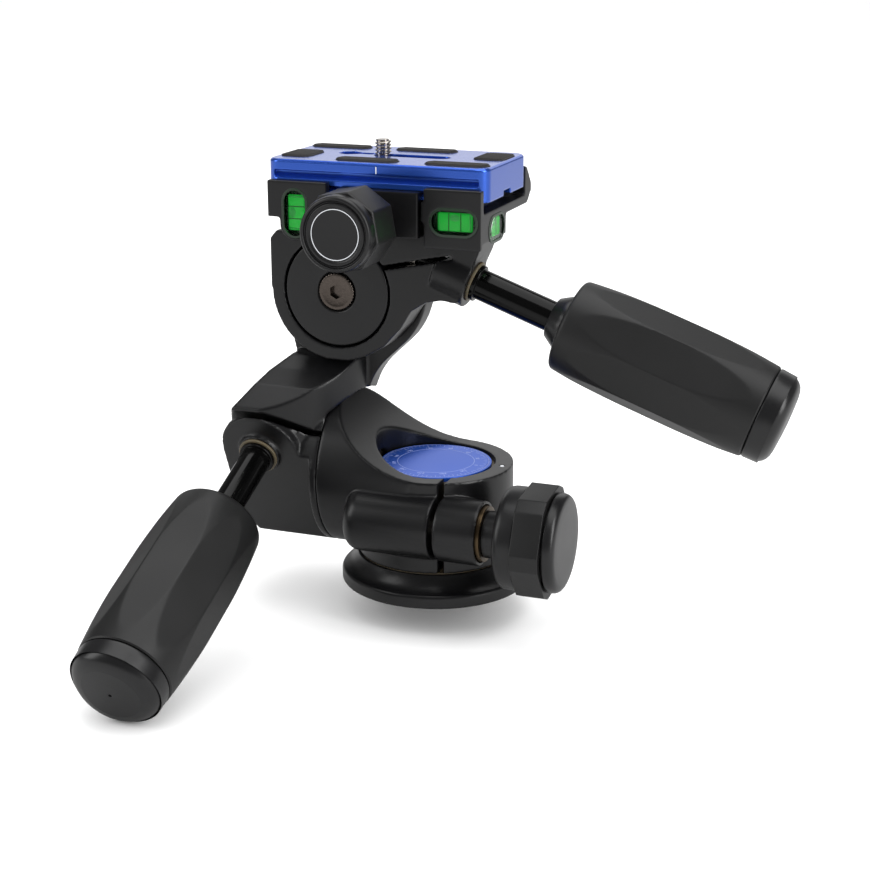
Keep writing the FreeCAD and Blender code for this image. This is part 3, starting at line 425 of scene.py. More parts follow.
def build_fine_grain():
    """Small bumps, as on sprayed paint or moulded rubber: even noise with rounded cells in it."""
    group, given, result = new_group(
        "fine_grain",
        [("Coordinates", "NodeSocketVector", None), ("Scale", "NodeSocketFloat", 3000.0),
         ("Depth", "NodeSocketFloat", 0.00001)],
        [("Height", "NodeSocketFloat")])
    cells = group.nodes.new("ShaderNodeTexVoronoi")
    cells.feature = "SMOOTH_F1"
    group.links.new(given.outputs["Coordinates"], cells.inputs["Vector"])
    group.links.new(given.outputs["Scale"], cells.inputs["Scale"])
    bumps = noise(group, given.outputs["Coordinates"], given.outputs["Scale"])
    both = maths(group, "ADD", bumps, maths(group, "MULTIPLY", cells.outputs["Distance"], -0.6))
    group.links.new(maths(group, "MULTIPLY", both, given.outputs["Depth"]), result.inputs["Height"])


def build_tone_shift():
    """Slow changes of colour and roughness over a surface."""
    group, given, result = new_group(
        "tone_shift",
        [("Coordinates", "NodeSocketVector", None), ("Scale", "NodeSocketFloat", 60.0),
         ("Colour", "NodeSocketColor", None), ("Shift", "NodeSocketFloat", 0.1),
         ("Roughness", "NodeSocketFloat", 0.5), ("Roughness Shift", "NodeSocketFloat", 0.05)],
        [("Colour", "NodeSocketColor"), ("Roughness", "NodeSocketFloat")])
    clouds = maths(group, "SUBTRACT", noise(group, given.outputs["Coordinates"], given.outputs["Scale"]), 0.5)
    shade = maths(group, "ADD", maths(group, "MULTIPLY", clouds, given.outputs["Shift"]), 1.0)
    scaled = vector_maths(group, "SCALE", given.outputs["Colour"])
    group.links.new(shade, scaled.inputs["Scale"])
    group.links.new(scaled.outputs[0], result.inputs["Colour"])
    rough = maths(group, "MULTIPLY", clouds, given.outputs["Roughness Shift"])
    rough = maths(group, "ADD", rough, given.outputs["Roughness"])
    group.links.new(rough, result.inputs["Roughness"])


def build_turned_lines():
    """Fine rings about Z, as a lathe tool leaves them on a face."""
    group, given, result = new_group(
        "turned_lines",
        [("Coordinates", "NodeSocketVector", None), ("Spacing", "NodeSocketFloat", 0.0003),
         ("Depth", "NodeSocketFloat", 0.00001)],
        [("Height", "NodeSocketFloat")])
    flat = vector_maths(group, "MULTIPLY", given.outputs["Coordinates"])
    flat.inputs[1].default_value = (1, 1, 0)
    radius = vector_maths(group, "LENGTH", flat.outputs[0])
    rings = group.nodes.new("ShaderNodeTexNoise")
    rings.noise_dimensions = "1D"
    set_inputs(rings, Scale=1.0)
    group.links.new(maths(group, "DIVIDE", radius.outputs["Value"], given.outputs["Spacing"]),
                    rings.inputs["W"])
    group.links.new(maths(group, "MULTIPLY", rings.outputs["Fac"], given.outputs["Depth"]),
                    result.inputs["Height"])


def add_group(tree, name, coordinates, **values):
    """Places a node group in a material, with values for the group's inputs."""
    node = tree.nodes.new("ShaderNodeGroup")
    node.node_tree = bpy.data.node_groups[name]
    tree.links.new(coordinates, node.inputs["Coordinates"])
    set_inputs(node, **values)
    return node


def bump(tree, height, shader):
    """Turns a height in metres into the shader's normal."""
    node = tree.nodes.new("ShaderNodeBump")
    set_inputs(node, Strength=1.0, Distance=1.0)
    tree.links.new(height, node.inputs["Height"])
    tree.links.new(node.outputs["Normal"], shader.inputs["Normal"])


def surface(name, colour, roughness, shift=0.15, rough_shift=0.1, clouds=60.0,
            grain=3000.0, depth=0.00001, **sockets):
    """A material with shifting tone and fine grain; other sockets of its shader are given by name."""
    material = bpy.data.materials.new(name)
    material.use_nodes = True
    tree = material.node_tree
    shader = tree.nodes["Principled BSDF"]
    set_inputs(shader, **sockets)
    coordinates = tree.nodes.new("ShaderNodeTexCoord").outputs["Object"]
    tone = add_group(tree, "tone_shift", coordinates, Scale=clouds, Colour=(*colour, 1.0), Shift=shift,
                     Roughness=roughness, Roughness_Shift=rough_shift)
    tree.links.new(tone.outputs["Colour"], shader.inputs["Base Color"])
    tree.links.new(tone.outputs["Roughness"], shader.inputs["Roughness"])
    height = add_group(tree, "fine_grain", coordinates, Scale=grain, Depth=depth).outputs["Height"]
    bump(tree, height, shader)
    return material


def lathed_surface(name, colour, roughness, centre, spacing, depth, **sockets):
    """A surface with rings turned into it about an upright axis at centre (mm)."""
    material = surface(name, colour, roughness, **sockets)
    tree = material.node_tree
    shader = tree.nodes["Principled BSDF"]
    coordinates = tree.nodes.new("ShaderNodeTexCoord").outputs["Object"]
    mapping = tree.nodes.new("ShaderNodeMapping")
    set_inputs(mapping, Location=(-centre[0] * MM, -centre[1] * MM, 0))
    tree.links.new(coordinates, mapping.inputs["Vector"])
    rings = add_group(tree, "turned_lines", mapping.outputs["Vector"], Spacing=spacing * MM, Depth=depth)
    bump(tree, rings.outputs["Height"], shader)
    return material


# The finish of each of the record's material slots, where a frame node keeps its own mesh.
SLOT_FINISH = {
    "black_casting": "casting_paint",
    "machined_aluminium": "bare_aluminium",
    "steel": "stainless",
    "dark_screw": "dark_steel",
    "brass": "brass_painted_shade",
    "nylon": "nylon_painted_shade",
    "blue_anodised": "blue_anodise",
    "white_paint": "white_ink",
    "black_rod": "rod_enamel",
    "grip_rubber": "grip_rubber_matt",
    "black_plastic": "cap_plastic",
    "knob_rubber": "knob_rubber_satin",
    "vial_fluid": "vial_green_painted_glow",
    "clear_lens": "lens_plastic",
}


class HEAD_OT_finishes(bpy.types.Operator):
    """Builds every finish and gives each frame node the one of its slot"""
    bl_idname = "head.finishes"
    bl_label = "Finishes"

    def execute(self, context):
        colours = context.scene.head_colours
        build_fine_grain()
        build_tone_shift()
        build_turned_lines()
        surface("casting_paint", colours.casting, 0.34, grain=2600.0, depth=0.000009,
                shift=0.3, rough_shift=0.12)
        surface("cap_plastic", colours.plastic, 0.30, grain=5200.0, depth=0.000004)
        surface("knob_plastic", colours.plastic, 0.33, grain=5200.0, depth=0.000005)
        surface("knob_rubber_satin", colours.rubber, 0.42, grain=4200.0, depth=0.000007)
        surface("grip_rubber_matt", colours.rubber, 0.46, grain=3600.0, depth=0.000010,
                shift=0.4, clouds=35.0, rough_shift=0.16)
        surface("rod_enamel", (0.0015, 0.0015, 0.0015), 0.12, grain=900.0, depth=0.000001,
                rough_shift=0.04, Specular_IOR_Level=0.24)
        surface("pad_rubber", colours.pad, 0.66, grain=2600.0, depth=0.00002)
        surface("blue_anodise", colours.anodised, 0.25, shift=0.08, rough_shift=0.06,
                grain=6000.0, depth=0.000002, Metallic=0.80, Coat_Weight=0.7, Coat_Roughness=0.20)
        lathed_surface("disc_anodise", colours.anodised, 0.30, middle("pan_scale_disc"), 0.25,
                       0.000004, shift=0.08, Metallic=0.60)
        surface("bare_aluminium", (0.62, 0.62, 0.63), 0.36, depth=0.000003, Metallic=1.0)
        surface("stainless", (0.56, 0.52, 0.47), 0.24, depth=0.000003, Metallic=1.0)
        surface("dark_steel", (0.11, 0.092, 0.080), 0.26, depth=0.00003, grain=1500.0, shift=0.5,
                clouds=900.0, Metallic=1.0)
        # Brass darkened far below its bare colour: painted shade, as the pan knob's washer sits in shadow at the
        # end of the barrel.
        surface("brass_painted_shade", (0.115, 0.080, 0.045), 0.36, depth=0.000003, Metallic=1.0)
        # Nylon darkened below its own tan: painted shade on the handle washers, whose faces lie hidden in shadow.
        surface("nylon_painted_shade", (0.115, 0.088, 0.052), 0.42, depth=0.000005, Subsurface_Weight=0.1)
        surface("white_ink", colours.mark, 0.45, depth=0.000002)
        surface("scale_ink", (0.34, 0.42, 0.78), 0.40, depth=0.000002)
        surface("black_ink", (0.004, 0.006, 0.004), 0.35, depth=0.000002)
        # The levels' green fluid also glows in its own colour: a painted glow, as the fluid is no lamp.
        surface("vial_green_painted_glow", colours.fluid, 0.22, shift=0.2, clouds=200.0, depth=0.000001,
                Emission_Strength=0.55, Emission_Color=(*colours.fluid, 1.0))
        surface("vial_dark", (0.001, 0.030, 0.006), 0.28, depth=0.000002)
        surface("vial_light", (0.05, 0.55, 0.10), 0.25, depth=0.000002)
        surface("bezel_plastic", (0.016, 0.030, 0.018), 0.28, depth=0.000002)
        surface("lens_plastic", (0.86, 0.97, 0.88), 0.06, shift=0.02, rough_shift=0.02,
                depth=0.0000005, Transmission_Weight=1.0, IOR=1.12)
        for entry in frame["record"]["subparts"]:
            node = frame["nodes"][entry["node"]]
            finish = bpy.data.materials[SLOT_FINISH[entry["material_slot"]]]
            node.data.materials.clear()
            node.data.materials.append(finish)
        return {"FINISHED"}


# ---- castings
def cast(name, node, body, cell, passes, most_triangles=180000):
    """A casting with soft edges, rebuilt from a merged copy of its frame node."""
    obj = copy_of(frame["nodes"][node], name)
    close_up(obj)
    modify(obj, "REMESH", mode="VOXEL", voxel_size=cell, adaptivity=0.0)
    modify(obj, "SMOOTH", factor=0.5, iterations=passes)
    thin_out(obj, most_triangles)
    return fit(obj, "casting_paint", body, "black_casting", node)


class HEAD_OT_castings(bpy.types.Operator):
    """Casts the pan, roll and platform bodies and the quick release jaw with soft edges"""
    bl_idname = "head.castings"
    bl_label = "Castings"
    jaw_cell = 0.8                      # the jaw's cells, as a share of the others

    def execute(self, context):
        sizes = context.scene.head_sizes
        cast("pan_collar_cast", "pan_casting", "pan_body", sizes.cast_cell, sizes.cast_passes)
        cast("roll_block_cast", "roll_casting", "roll_body", sizes.cast_cell, sizes.cast_passes)
        cast("platform_cast", "platform_casting", "tilt_body", sizes.cast_cell, sizes.cast_passes)
        cast("jaw_cast", "qr_jaw", "qr_jaw", sizes.cast_cell * self.jaw_cell, sizes.cast_passes)
        return {"FINISHED"}


# ---- base
class HEAD_OT_base_plate(bpy.types.Operator):
    """Turns the base flange with its rounded rim and hollow cone"""
    bl_idname = "head.base_plate"
    bl_label = "Base plate"
    rim = 5.2
    hollow = (34.4, 6.3)                # radius and height of the cone's deepest point
    neck = 31.2
    neck_flare = (0.6, 1.4)             # how far the neck widens, and over which height
    groove = (15.0, 30.0, 1.2)          # inner and outer radius, and depth
    bush = (7.0, 10.0, 8.0)             # inner and outer radius, and height

    def execute(self, context):
        _, high = corners("base_flange")
        r = high.x
        wider, lower = self.neck_flare
        bush_in, bush_out, bush_z = self.bush
        groove_in, groove_out, groove_z = self.groove
        flange = turned("base_plate_turned", [
            (bush_in, 0.0), (groove_in, 0.0, 0.3), (groove_in, groove_z), (groove_out, groove_z),
            (groove_out, 0.0, 0.3), (r, 0.0, 1.0), (r, self.rim, 1.4),
            (*self.hollow, 2.6), (self.neck + wider, high.z - lower, 1.2),
            (self.neck, high.z, 0.3), (bush_out, high.z), (bush_out, bush_z), (bush_in, bush_z)], FINE)
        fit(flange, "casting_paint", "base", "black_casting", "base_flange")
        return {"FINISHED"}


# ---- pan scale
class HEAD_OT_scale_disc(bpy.types.Operator):
    """Turns the blue pan scale disc and sets its ticks, rings and numbers on it"""
    bl_idname = "head.scale_disc"
    bl_label = "Scale disc"
    ring_radii = (21.0, 15.2)
    ring_width = 0.16
    tick_out = 20.4
    tick_lengths = (2.2, 1.5, 0.9)     # at 30, 10 and 5 degrees
    tick_width = 0.17
    dot_steps = 32
    number_radius = 16.7
    number_size = 2.0
    below = 0.05                        # the disc's face under the marks
    groove = (1.0, 1.25, 0.12)          # how far in from the rim it starts and ends, and its depth
    groove_slope = 0.1

    def tick(self, degrees, top, height):
        """One tick of the scale, as long as its angle asks."""
        long_by, mid_by, short_by = self.tick_lengths
        length = long_by if degrees % 30 == 0 else mid_by if degrees % 10 == 0 else short_by
        clear_pick()
        bpy.ops.mesh.primitive_cube_add(size=MM, location=((self.tick_out - length / 2) * MM, 0, 0))
        mark = newest("tick")
        mark.scale = (length, self.tick_width, height)
        turn = Matrix.Rotation(math.radians(degrees), 4, "Z")
        return settle(mark, shift(0, 0, top + height / 2) @ turn @ mark.matrix_basis.copy())

    def number(self, degrees, top, height):
        """One plain number, its top turned outwards."""
        clear_pick()
        bpy.ops.object.text_add()
        text = bpy.context.active_object
        text.data.body = str(degrees)
        text.data.align_x = "CENTER"
        text.data.align_y = "CENTER"
        text.data.size = self.number_size * MM
        text.data.extrude = height * MM / 2
        text.data.resolution_u = 3
        bpy.ops.object.convert(target="MESH")
        mark = newest("number")
        turn = Matrix.Rotation(math.radians(degrees - 90), 4, "Z")
        return settle(mark, turn @ shift(0, self.number_radius, top + height / 2))

    def execute(self, context):
        height = context.scene.head_sizes.mark_height / MM
        low, high = corners("pan_scale_disc")
        r = high.x
        top = high.z - self.below
        starts, ends, depth = self.groove
        disc = turned("scale_disc_turned", [
            (0, low.z), (r, low.z), (r, top, 0.35), (r - starts + self.groove_slope, top),
            (r - starts, top - depth), (r - ends, top - depth), (r - ends - self.groove_slope, top),
            (0, top)], FINE)
        fit(disc, "disc_anodise", "base", "blue_anodised", "pan_scale_disc")
        marks = [self.tick(angle, top, height) for angle in range(0, 360, 5)]
        marks += [self.number(angle, top, height) for angle in range(0, 360, 30)]
        for ring_r in self.ring_radii:
            half = self.ring_width / 2
            marks.append(turned("ring", [
                (ring_r - half, top), (ring_r + half, top), (ring_r + half, top + height),
                (ring_r - half, top + height)], FINE))
        fit(join("scale_marks", marks), "scale_ink", "base", "white_paint")
        low, high = corners("pan_index_dot")
        centre = (low + high) / 2
        dot_r = (high.x - low.x) / 2
        dot = turned("index_dot_domed", [
            (0, low.z), (dot_r, low.z), (dot_r, high.z, 0.3), (0, high.z)], self.dot_steps)
        settle(dot, shift(centre.x, centre.y, 0))
        fit(dot, "white_ink", "pan_body", "white_paint", "pan_index_dot")
        return {"FINISHED"}


# ---- pan knob
class HEAD_OT_pan_knob(bpy.types.Operator):
    """Models the pan locking knob: washer, hub, grip ring with wide and narrow flats, and cap"""
    bl_idname = "head.pan_knob"
    bl_label = "Pan knob"
    washer_bore = 3.3
    neck_r = 9.0
    flange_from = 7.0                   # from the neck's start
    flange_length = 8.0
    flange_slope = (3.4, 0.5)           # how far the flange's back face leans, in and along
    core_r = 15.4
    bolt_bore = 3.1
    bolt_head = (6.4, 8.0)              # radius and depth of its seat
    ring_bore = 15.5
    ring_flats = 6
    ring_flat = 19.9
    ring_span = math.radians(44.5)      # of each wide flat
    ring_turn = math.radians(5.6)
    ring_blend = 0.12
    cap_step = (1.8, 0.5)               # the step at the cap's start, in and along
    cap_crown = (5.5, 0.25)             # where the crown starts, in from the side and back from the end

    def execute(self, context):
        washer_low, washer_high = corners("pan_knob_washer")
        hub_low, hub_high = corners("pan_knob_hub")
        ring_low, ring_high = corners("pan_knob_ring")
        cap_low, cap_high = corners("pan_knob_cap")
        y, z = middle("pan_knob_washer").yz
        axis = (0, y, z)
        washer_r = (washer_high.y - washer_low.y) / 2
        washer = turned("pan_washer_turned", [
            (self.washer_bore, washer_low.x), (washer_r, washer_low.x, 0.3),
            (washer_r, washer_high.x, 0.5), (self.washer_bore, washer_high.x)], FINE)
        fit(place(washer, axis, RIGHT), "brass_painted_shade", "pan_knob", "brass", "pan_knob_washer")
        flange_r = (hub_high.y - hub_low.y) / 2
        start = hub_low.x + self.flange_from
        end = start + self.flange_length
        slope_in, slope_along = self.flange_slope
        head_r, head_depth = self.bolt_head
        seat = hub_high.x - head_depth
        hub = turned("pan_hub_turned", [
            (self.bolt_bore, hub_low.x), (self.neck_r, hub_low.x, 0.4), (self.neck_r, start, 0.8),
            (flange_r - slope_in, start, 0.8), (flange_r, start + slope_along, 2.9), (flange_r, end, 0.5),
            (self.core_r, end), (self.core_r, hub_high.x), (head_r, hub_high.x), (head_r, seat),
            (self.bolt_bore, seat)], FINE)
        fit(place(hub, axis, RIGHT), "knob_plastic", "pan_knob", "knob_rubber", "pan_knob_hub")
        self.grip_ring(axis, ring_low.x, ring_high.x)
        self.cap(axis, cap_low.x, cap_high.x, (cap_high.y - cap_low.y) / 2)
        return {"FINISHED"}

    def grip_ring(self, axis, start, end):
        """The ring: six wide flats, with a narrow one between each two."""
        flat = self.ring_flat
        ring = turned("pan_grip_ring", [
            (self.ring_bore, start), (flat, start, 0.45), (flat, end, 0.3), (self.ring_bore, end)],
            2 * FINE)
        step = math.tau / self.ring_flats
        narrow = flat / math.cos(self.ring_span / 2) * math.cos((step - self.ring_span) / 2)

        def radius_at(r, angle, z):
            if r < self.ring_bore + 0.5:
                return r
            wide_side = flat / math.cos(off_flat(angle, self.ring_flats, self.ring_turn))
            narrow_side = narrow / math.cos(off_flat(angle, self.ring_flats, self.ring_turn + step / 2))
            return r * soft_least(wide_side, narrow_side, self.ring_blend) / flat
        reshape(ring, radius_at)
        fit(place(ring, axis, RIGHT), "knob_rubber_satin", "pan_knob", "knob_rubber", "pan_knob_ring")

    def cap(self, axis, start, end, r):
        """The smooth cap with its wide rounded edge and low crown."""
        step_in, step_along = self.cap_step
        crown_in, crown_back = self.cap_crown
        cap = turned("pan_cap_turned", [
            (0, start), (r - step_in, start), (r - step_in, start + step_along),
            (r, start + step_along + 0.2, 0.35), (r, end - crown_back, 3.3), (r - crown_in, end, 2.0),
            (0, end)], FINE)
        fit(place(cap, axis, RIGHT), "cap_plastic", "pan_knob", "black_plastic", "pan_knob_cap")


# ---- screws with hexagon sockets
def cut_socket(obj, half_flat, depth, top):
    """Cuts a hexagon socket down from the top of a piece made along Z."""
    r = half_flat / math.cos(math.pi / 6)
    angles = [math.pi / 6 + i * math.pi / 3 for i in range(6)]
    cut_away(obj, slab("cutter", [(r * math.cos(a), r * math.sin(a)) for a in angles], top - depth, top + 1))
    close_up(obj)


class HEAD_OT_tilt_cover(bpy.types.Operator):
    """Turns the tilt cover disc and its socket screw, and the cap at the roll axle's end"""
    bl_idname = "head.tilt_cover"
    bl_label = "Tilt cover"
    screw_hole = (7.65, 2.7)            # radius and depth
    pin_hole = 4.1
    shank_r = 4.0
    head = (7.35, 3.2)                  # radius and height
    crown = (6.0, 4.6, 0.25)            # radii where the head's end starts to dip, and the dip
    socket = (2.5, 2.3)                 # distance of its flats from the axis, and depth
    serrations = 36
    serration_depth = 0.22
    cap_rim = (2.2, 0.5)                # width of the end cap's rim, and its height over the middle

    def execute(self, context):
        low, high = corners("tilt_cover_disc")
        centre = middle("tilt_cover_disc")
        r = (high.x - low.x) / 2
        thick = high.y - low.y
        hole_r, hole_depth = self.screw_hole
        disc = turned("tilt_cover_turned", [
            (self.pin_hole, 0), (r, 0), (r, thick, 0.7), (hole_r + 0.5, thick, 0.3), (hole_r, thick - 0.5),
            (hole_r, thick - hole_depth), (self.pin_hole, thick - hole_depth)], FINE)
        fit(place(disc, (centre.x, high.y, centre.z), FRONT), "casting_paint", "roll_body", "black_casting",
            "tilt_cover_disc")
        self.screw(centre)
        self.end_cap()
        return {"FINISHED"}

    def screw(self, centre):
        """The tilt pivot's socket screw, with its serrated head."""
        low, high = corners("tilt_pivot_screw")
        length = high.y - low.y
        head_r, head_l = self.head
        outer_r, inner_r, dip = self.crown
        screw = turned("tilt_screw_turned", [
            (0, 0), (self.shank_r, 0, 0.5), (self.shank_r, length - head_l), (head_r, length - head_l, 0.2),
            (head_r, length - 0.1, 0.7), (outer_r, length, 0.4), (inner_r, length - dip), (0, length - dip)],
            FINE)

        def radius_at(r, angle, z):
            if r < head_r - 0.45:
                return r
            return r - self.serration_depth * (0.5 + 0.5 * math.cos(angle * self.serrations))
        reshape(screw, radius_at)
        cut_socket(screw, *self.socket, length)
        fit(place(screw, (centre.x, high.y, centre.z), FRONT), "dark_steel", "roll_body", "dark_screw",
            "tilt_pivot_screw")

    def end_cap(self):
        """The cap at the roll axle's end, with a raised rim."""
        low, high = corners("roll_end_cap")
        _, y, z = middle("roll_end_cap")
        r = (high.y - low.y) / 2
        thick = high.x - low.x
        width, drop = self.cap_rim
        cap = turned("roll_cap_turned", [
            (0, 0), (r, 0), (r, thick, 0.5), (r - width, thick, 0.3), (r - width - 0.5, thick - drop, 0.3),
            (0, thick - drop)], FINE)
        fit(place(cap, (high.x, y, z), LEFT), "cap_plastic", "roll_body", "black_plastic", "roll_end_cap")


# ---- handles
class HEAD_OT_handles(bpy.types.Operator):
    """Models both handles: rod, washer, ferrule, barrel grip with long flats and lobed end cap"""
    bl_idname = "head.handles"
    bl_label = "Handles"
    rod_r = 5.9
    rod_thread_r = 4.0
    rod_from = -33.0
    rod_to = 111.2
    washer_r = 7.9
    washer_from = 0.02
    washer_to = 1.0
    collar_r = 7.1
    collar_to = 2.6
    ferrule_from = 33.0
    ferrule_radii = (7.6, 11.0)
    grip_from = 39.5
    grip_to = 117.2
    grip_r = 17.7
    grip_bore = 6.0
    grip_edge = 1.6                     # how far the rounded edge at the grip's start reaches
    grip_rings = 72
    flats = 8
    flat_blend = 0.10
    roll_turn = math.radians(37)
    tilt_turn = math.radians(16)
    cap_to = 127.6
    cap_r = 17.4
    cap_plug = 4.0                      # how far the cap reaches into the grip
    cap_step = (0.7, 0.6)               # the step beside the grip, in and along
    cap_shoulder = (0.9, 6.2)           # back from the cap's end, and rounding
    cap_crown = (9.0, 0.2, 4.0)         # in from the side, back from the end, and the flat's radius
    lobes = 3
    lobe_span = (1.5, 4.0)              # start of the dips, and how much shorter than the cap they are
    hole = (0.6, 1.2)                   # radius and depth of the small hole in the cap's end

    def grip_outline(self):
        """The grip's outline, with enough points along it for the flats."""
        start = self.grip_from + self.grip_edge
        end = self.grip_to - 0.5
        side = [(self.grip_r, start + (end - start) * k / self.grip_rings) for k in range(1, self.grip_rings)]
        return [(self.grip_bore, self.grip_from), (self.grip_r - 0.4, self.grip_from, 1.5),
                (self.grip_r, start), *side, (self.grip_r, end), (self.grip_r - 0.4, self.grip_to),
                (self.grip_bore, self.grip_to)]

    def grip(self, prefix, turn, sizes):
        """The rubber grip: a barrel with eight long flats, which run out towards its ends."""
        grip = turned(prefix + "_grip_moulded", self.grip_outline(), 2 * FINE)
        half = (self.grip_to - self.grip_from - self.grip_edge) / 2
        mid = self.grip_to - half
        flat = sizes.grip_flat / MM
        swell = sizes.grip_swell / MM

        def radius_at(r, angle, z):
            if r < self.grip_bore + 4:
                return r
            barrel = r + swell * max(1 - ((z - mid) / half) ** 2, 0.0)
            return soft_least(barrel, flat / math.cos(off_flat(angle, self.flats, turn)), self.flat_blend)
        reshape(grip, radius_at)
        return grip

    def end_cap(self, prefix, sizes):
        """The end cap, which dips in three places towards its end."""
        r, start, end = self.cap_r, self.grip_to, self.cap_to
        hole_r, hole_depth = self.hole
        step_in, step_along = self.cap_step
        shoulder_back, shoulder_round = self.cap_shoulder
        crown_in, crown_back, flat_r = self.cap_crown
        rings = [(r, start + step_along + k) for k in range(1, 7)]
        cap = turned(prefix + "_cap_moulded", [
            (0, start - self.cap_plug), (self.grip_bore, start - self.cap_plug), (self.grip_bore, start),
            (r - step_in, start), (r, start + step_along, 0.3), *rings,
            (r, end - shoulder_back, shoulder_round), (r - crown_in, end - crown_back, 3.0),
            (flat_r, end), (1.5, end), (hole_r, end, 0.2), (hole_r, end - hole_depth),
            (0, end - hole_depth)], FINE)
        dip = sizes.cap_lobe / MM
        dip_from, dip_short = self.lobe_span

        def radius_at(r_here, angle, z):
            if r_here < 5:
                return r_here
            reach = min(max((z - start - dip_from) / (end - start - dip_short), 0.0), 1.0)
            return r_here - dip * reach * (0.5 - 0.5 * math.cos(self.lobes * angle)) * r_here / r
        reshape(cap, radius_at)
        return cap

    def handle(self, prefix, joint_name, turn, sizes):
        """One handle with all its pieces, set along its joint's axis."""
        root, direction = joint(joint_name)
        body = prefix + "_handle"
        r = self.rod_r
        rod = turned(prefix + "_rod_turned", [
            (0, self.rod_from), (self.rod_thread_r, self.rod_from, 0.6), (self.rod_thread_r, self.washer_to),
            (self.collar_r, self.washer_to, 0.2), (self.collar_r, self.collar_to, 0.5),
            (r, self.collar_to, 0.2), (r, self.rod_to), (0, self.rod_to)], FINE)
        washer = turned(prefix + "_washer_turned", [
            (self.rod_thread_r, self.washer_from), (self.washer_r, self.washer_from, 0.25),
            (self.washer_r, self.washer_to, 0.35), (self.rod_thread_r, self.washer_to)], FINE)
        ferrule_in, ferrule_out = self.ferrule_radii
        ferrule = turned(prefix + "_ferrule_turned", [
            (r, self.ferrule_from), (ferrule_in, self.ferrule_from, 0.5),
            (ferrule_out, self.grip_from - 1.0, 2.0), (ferrule_out, self.grip_from),
            (r, self.grip_from)], FINE)
        pieces = [
            (rod, "rod_enamel", "black_rod", "rod"),
            (washer, "nylon_painted_shade", "nylon", "washer"),
            (ferrule, "cap_plastic", "black_plastic", "ferrule"),
            (self.grip(prefix, turn, sizes), "grip_rubber_matt", "grip_rubber", "grip"),
            (self.end_cap(prefix, sizes), "cap_plastic", "black_plastic", "end_cap"),
        ]
        for obj, finish, slot, part in pieces:
            fit(place(obj, root, direction), finish, body, slot, f"{prefix}_handle_{part}")

    def execute(self, context):
        sizes = context.scene.head_sizes
        self.handle("roll", "roll_lock_turn", self.roll_turn, sizes)
        self.handle("tilt", "tilt_lock_turn", self.tilt_turn, sizes)
        return {"FINISHED"}


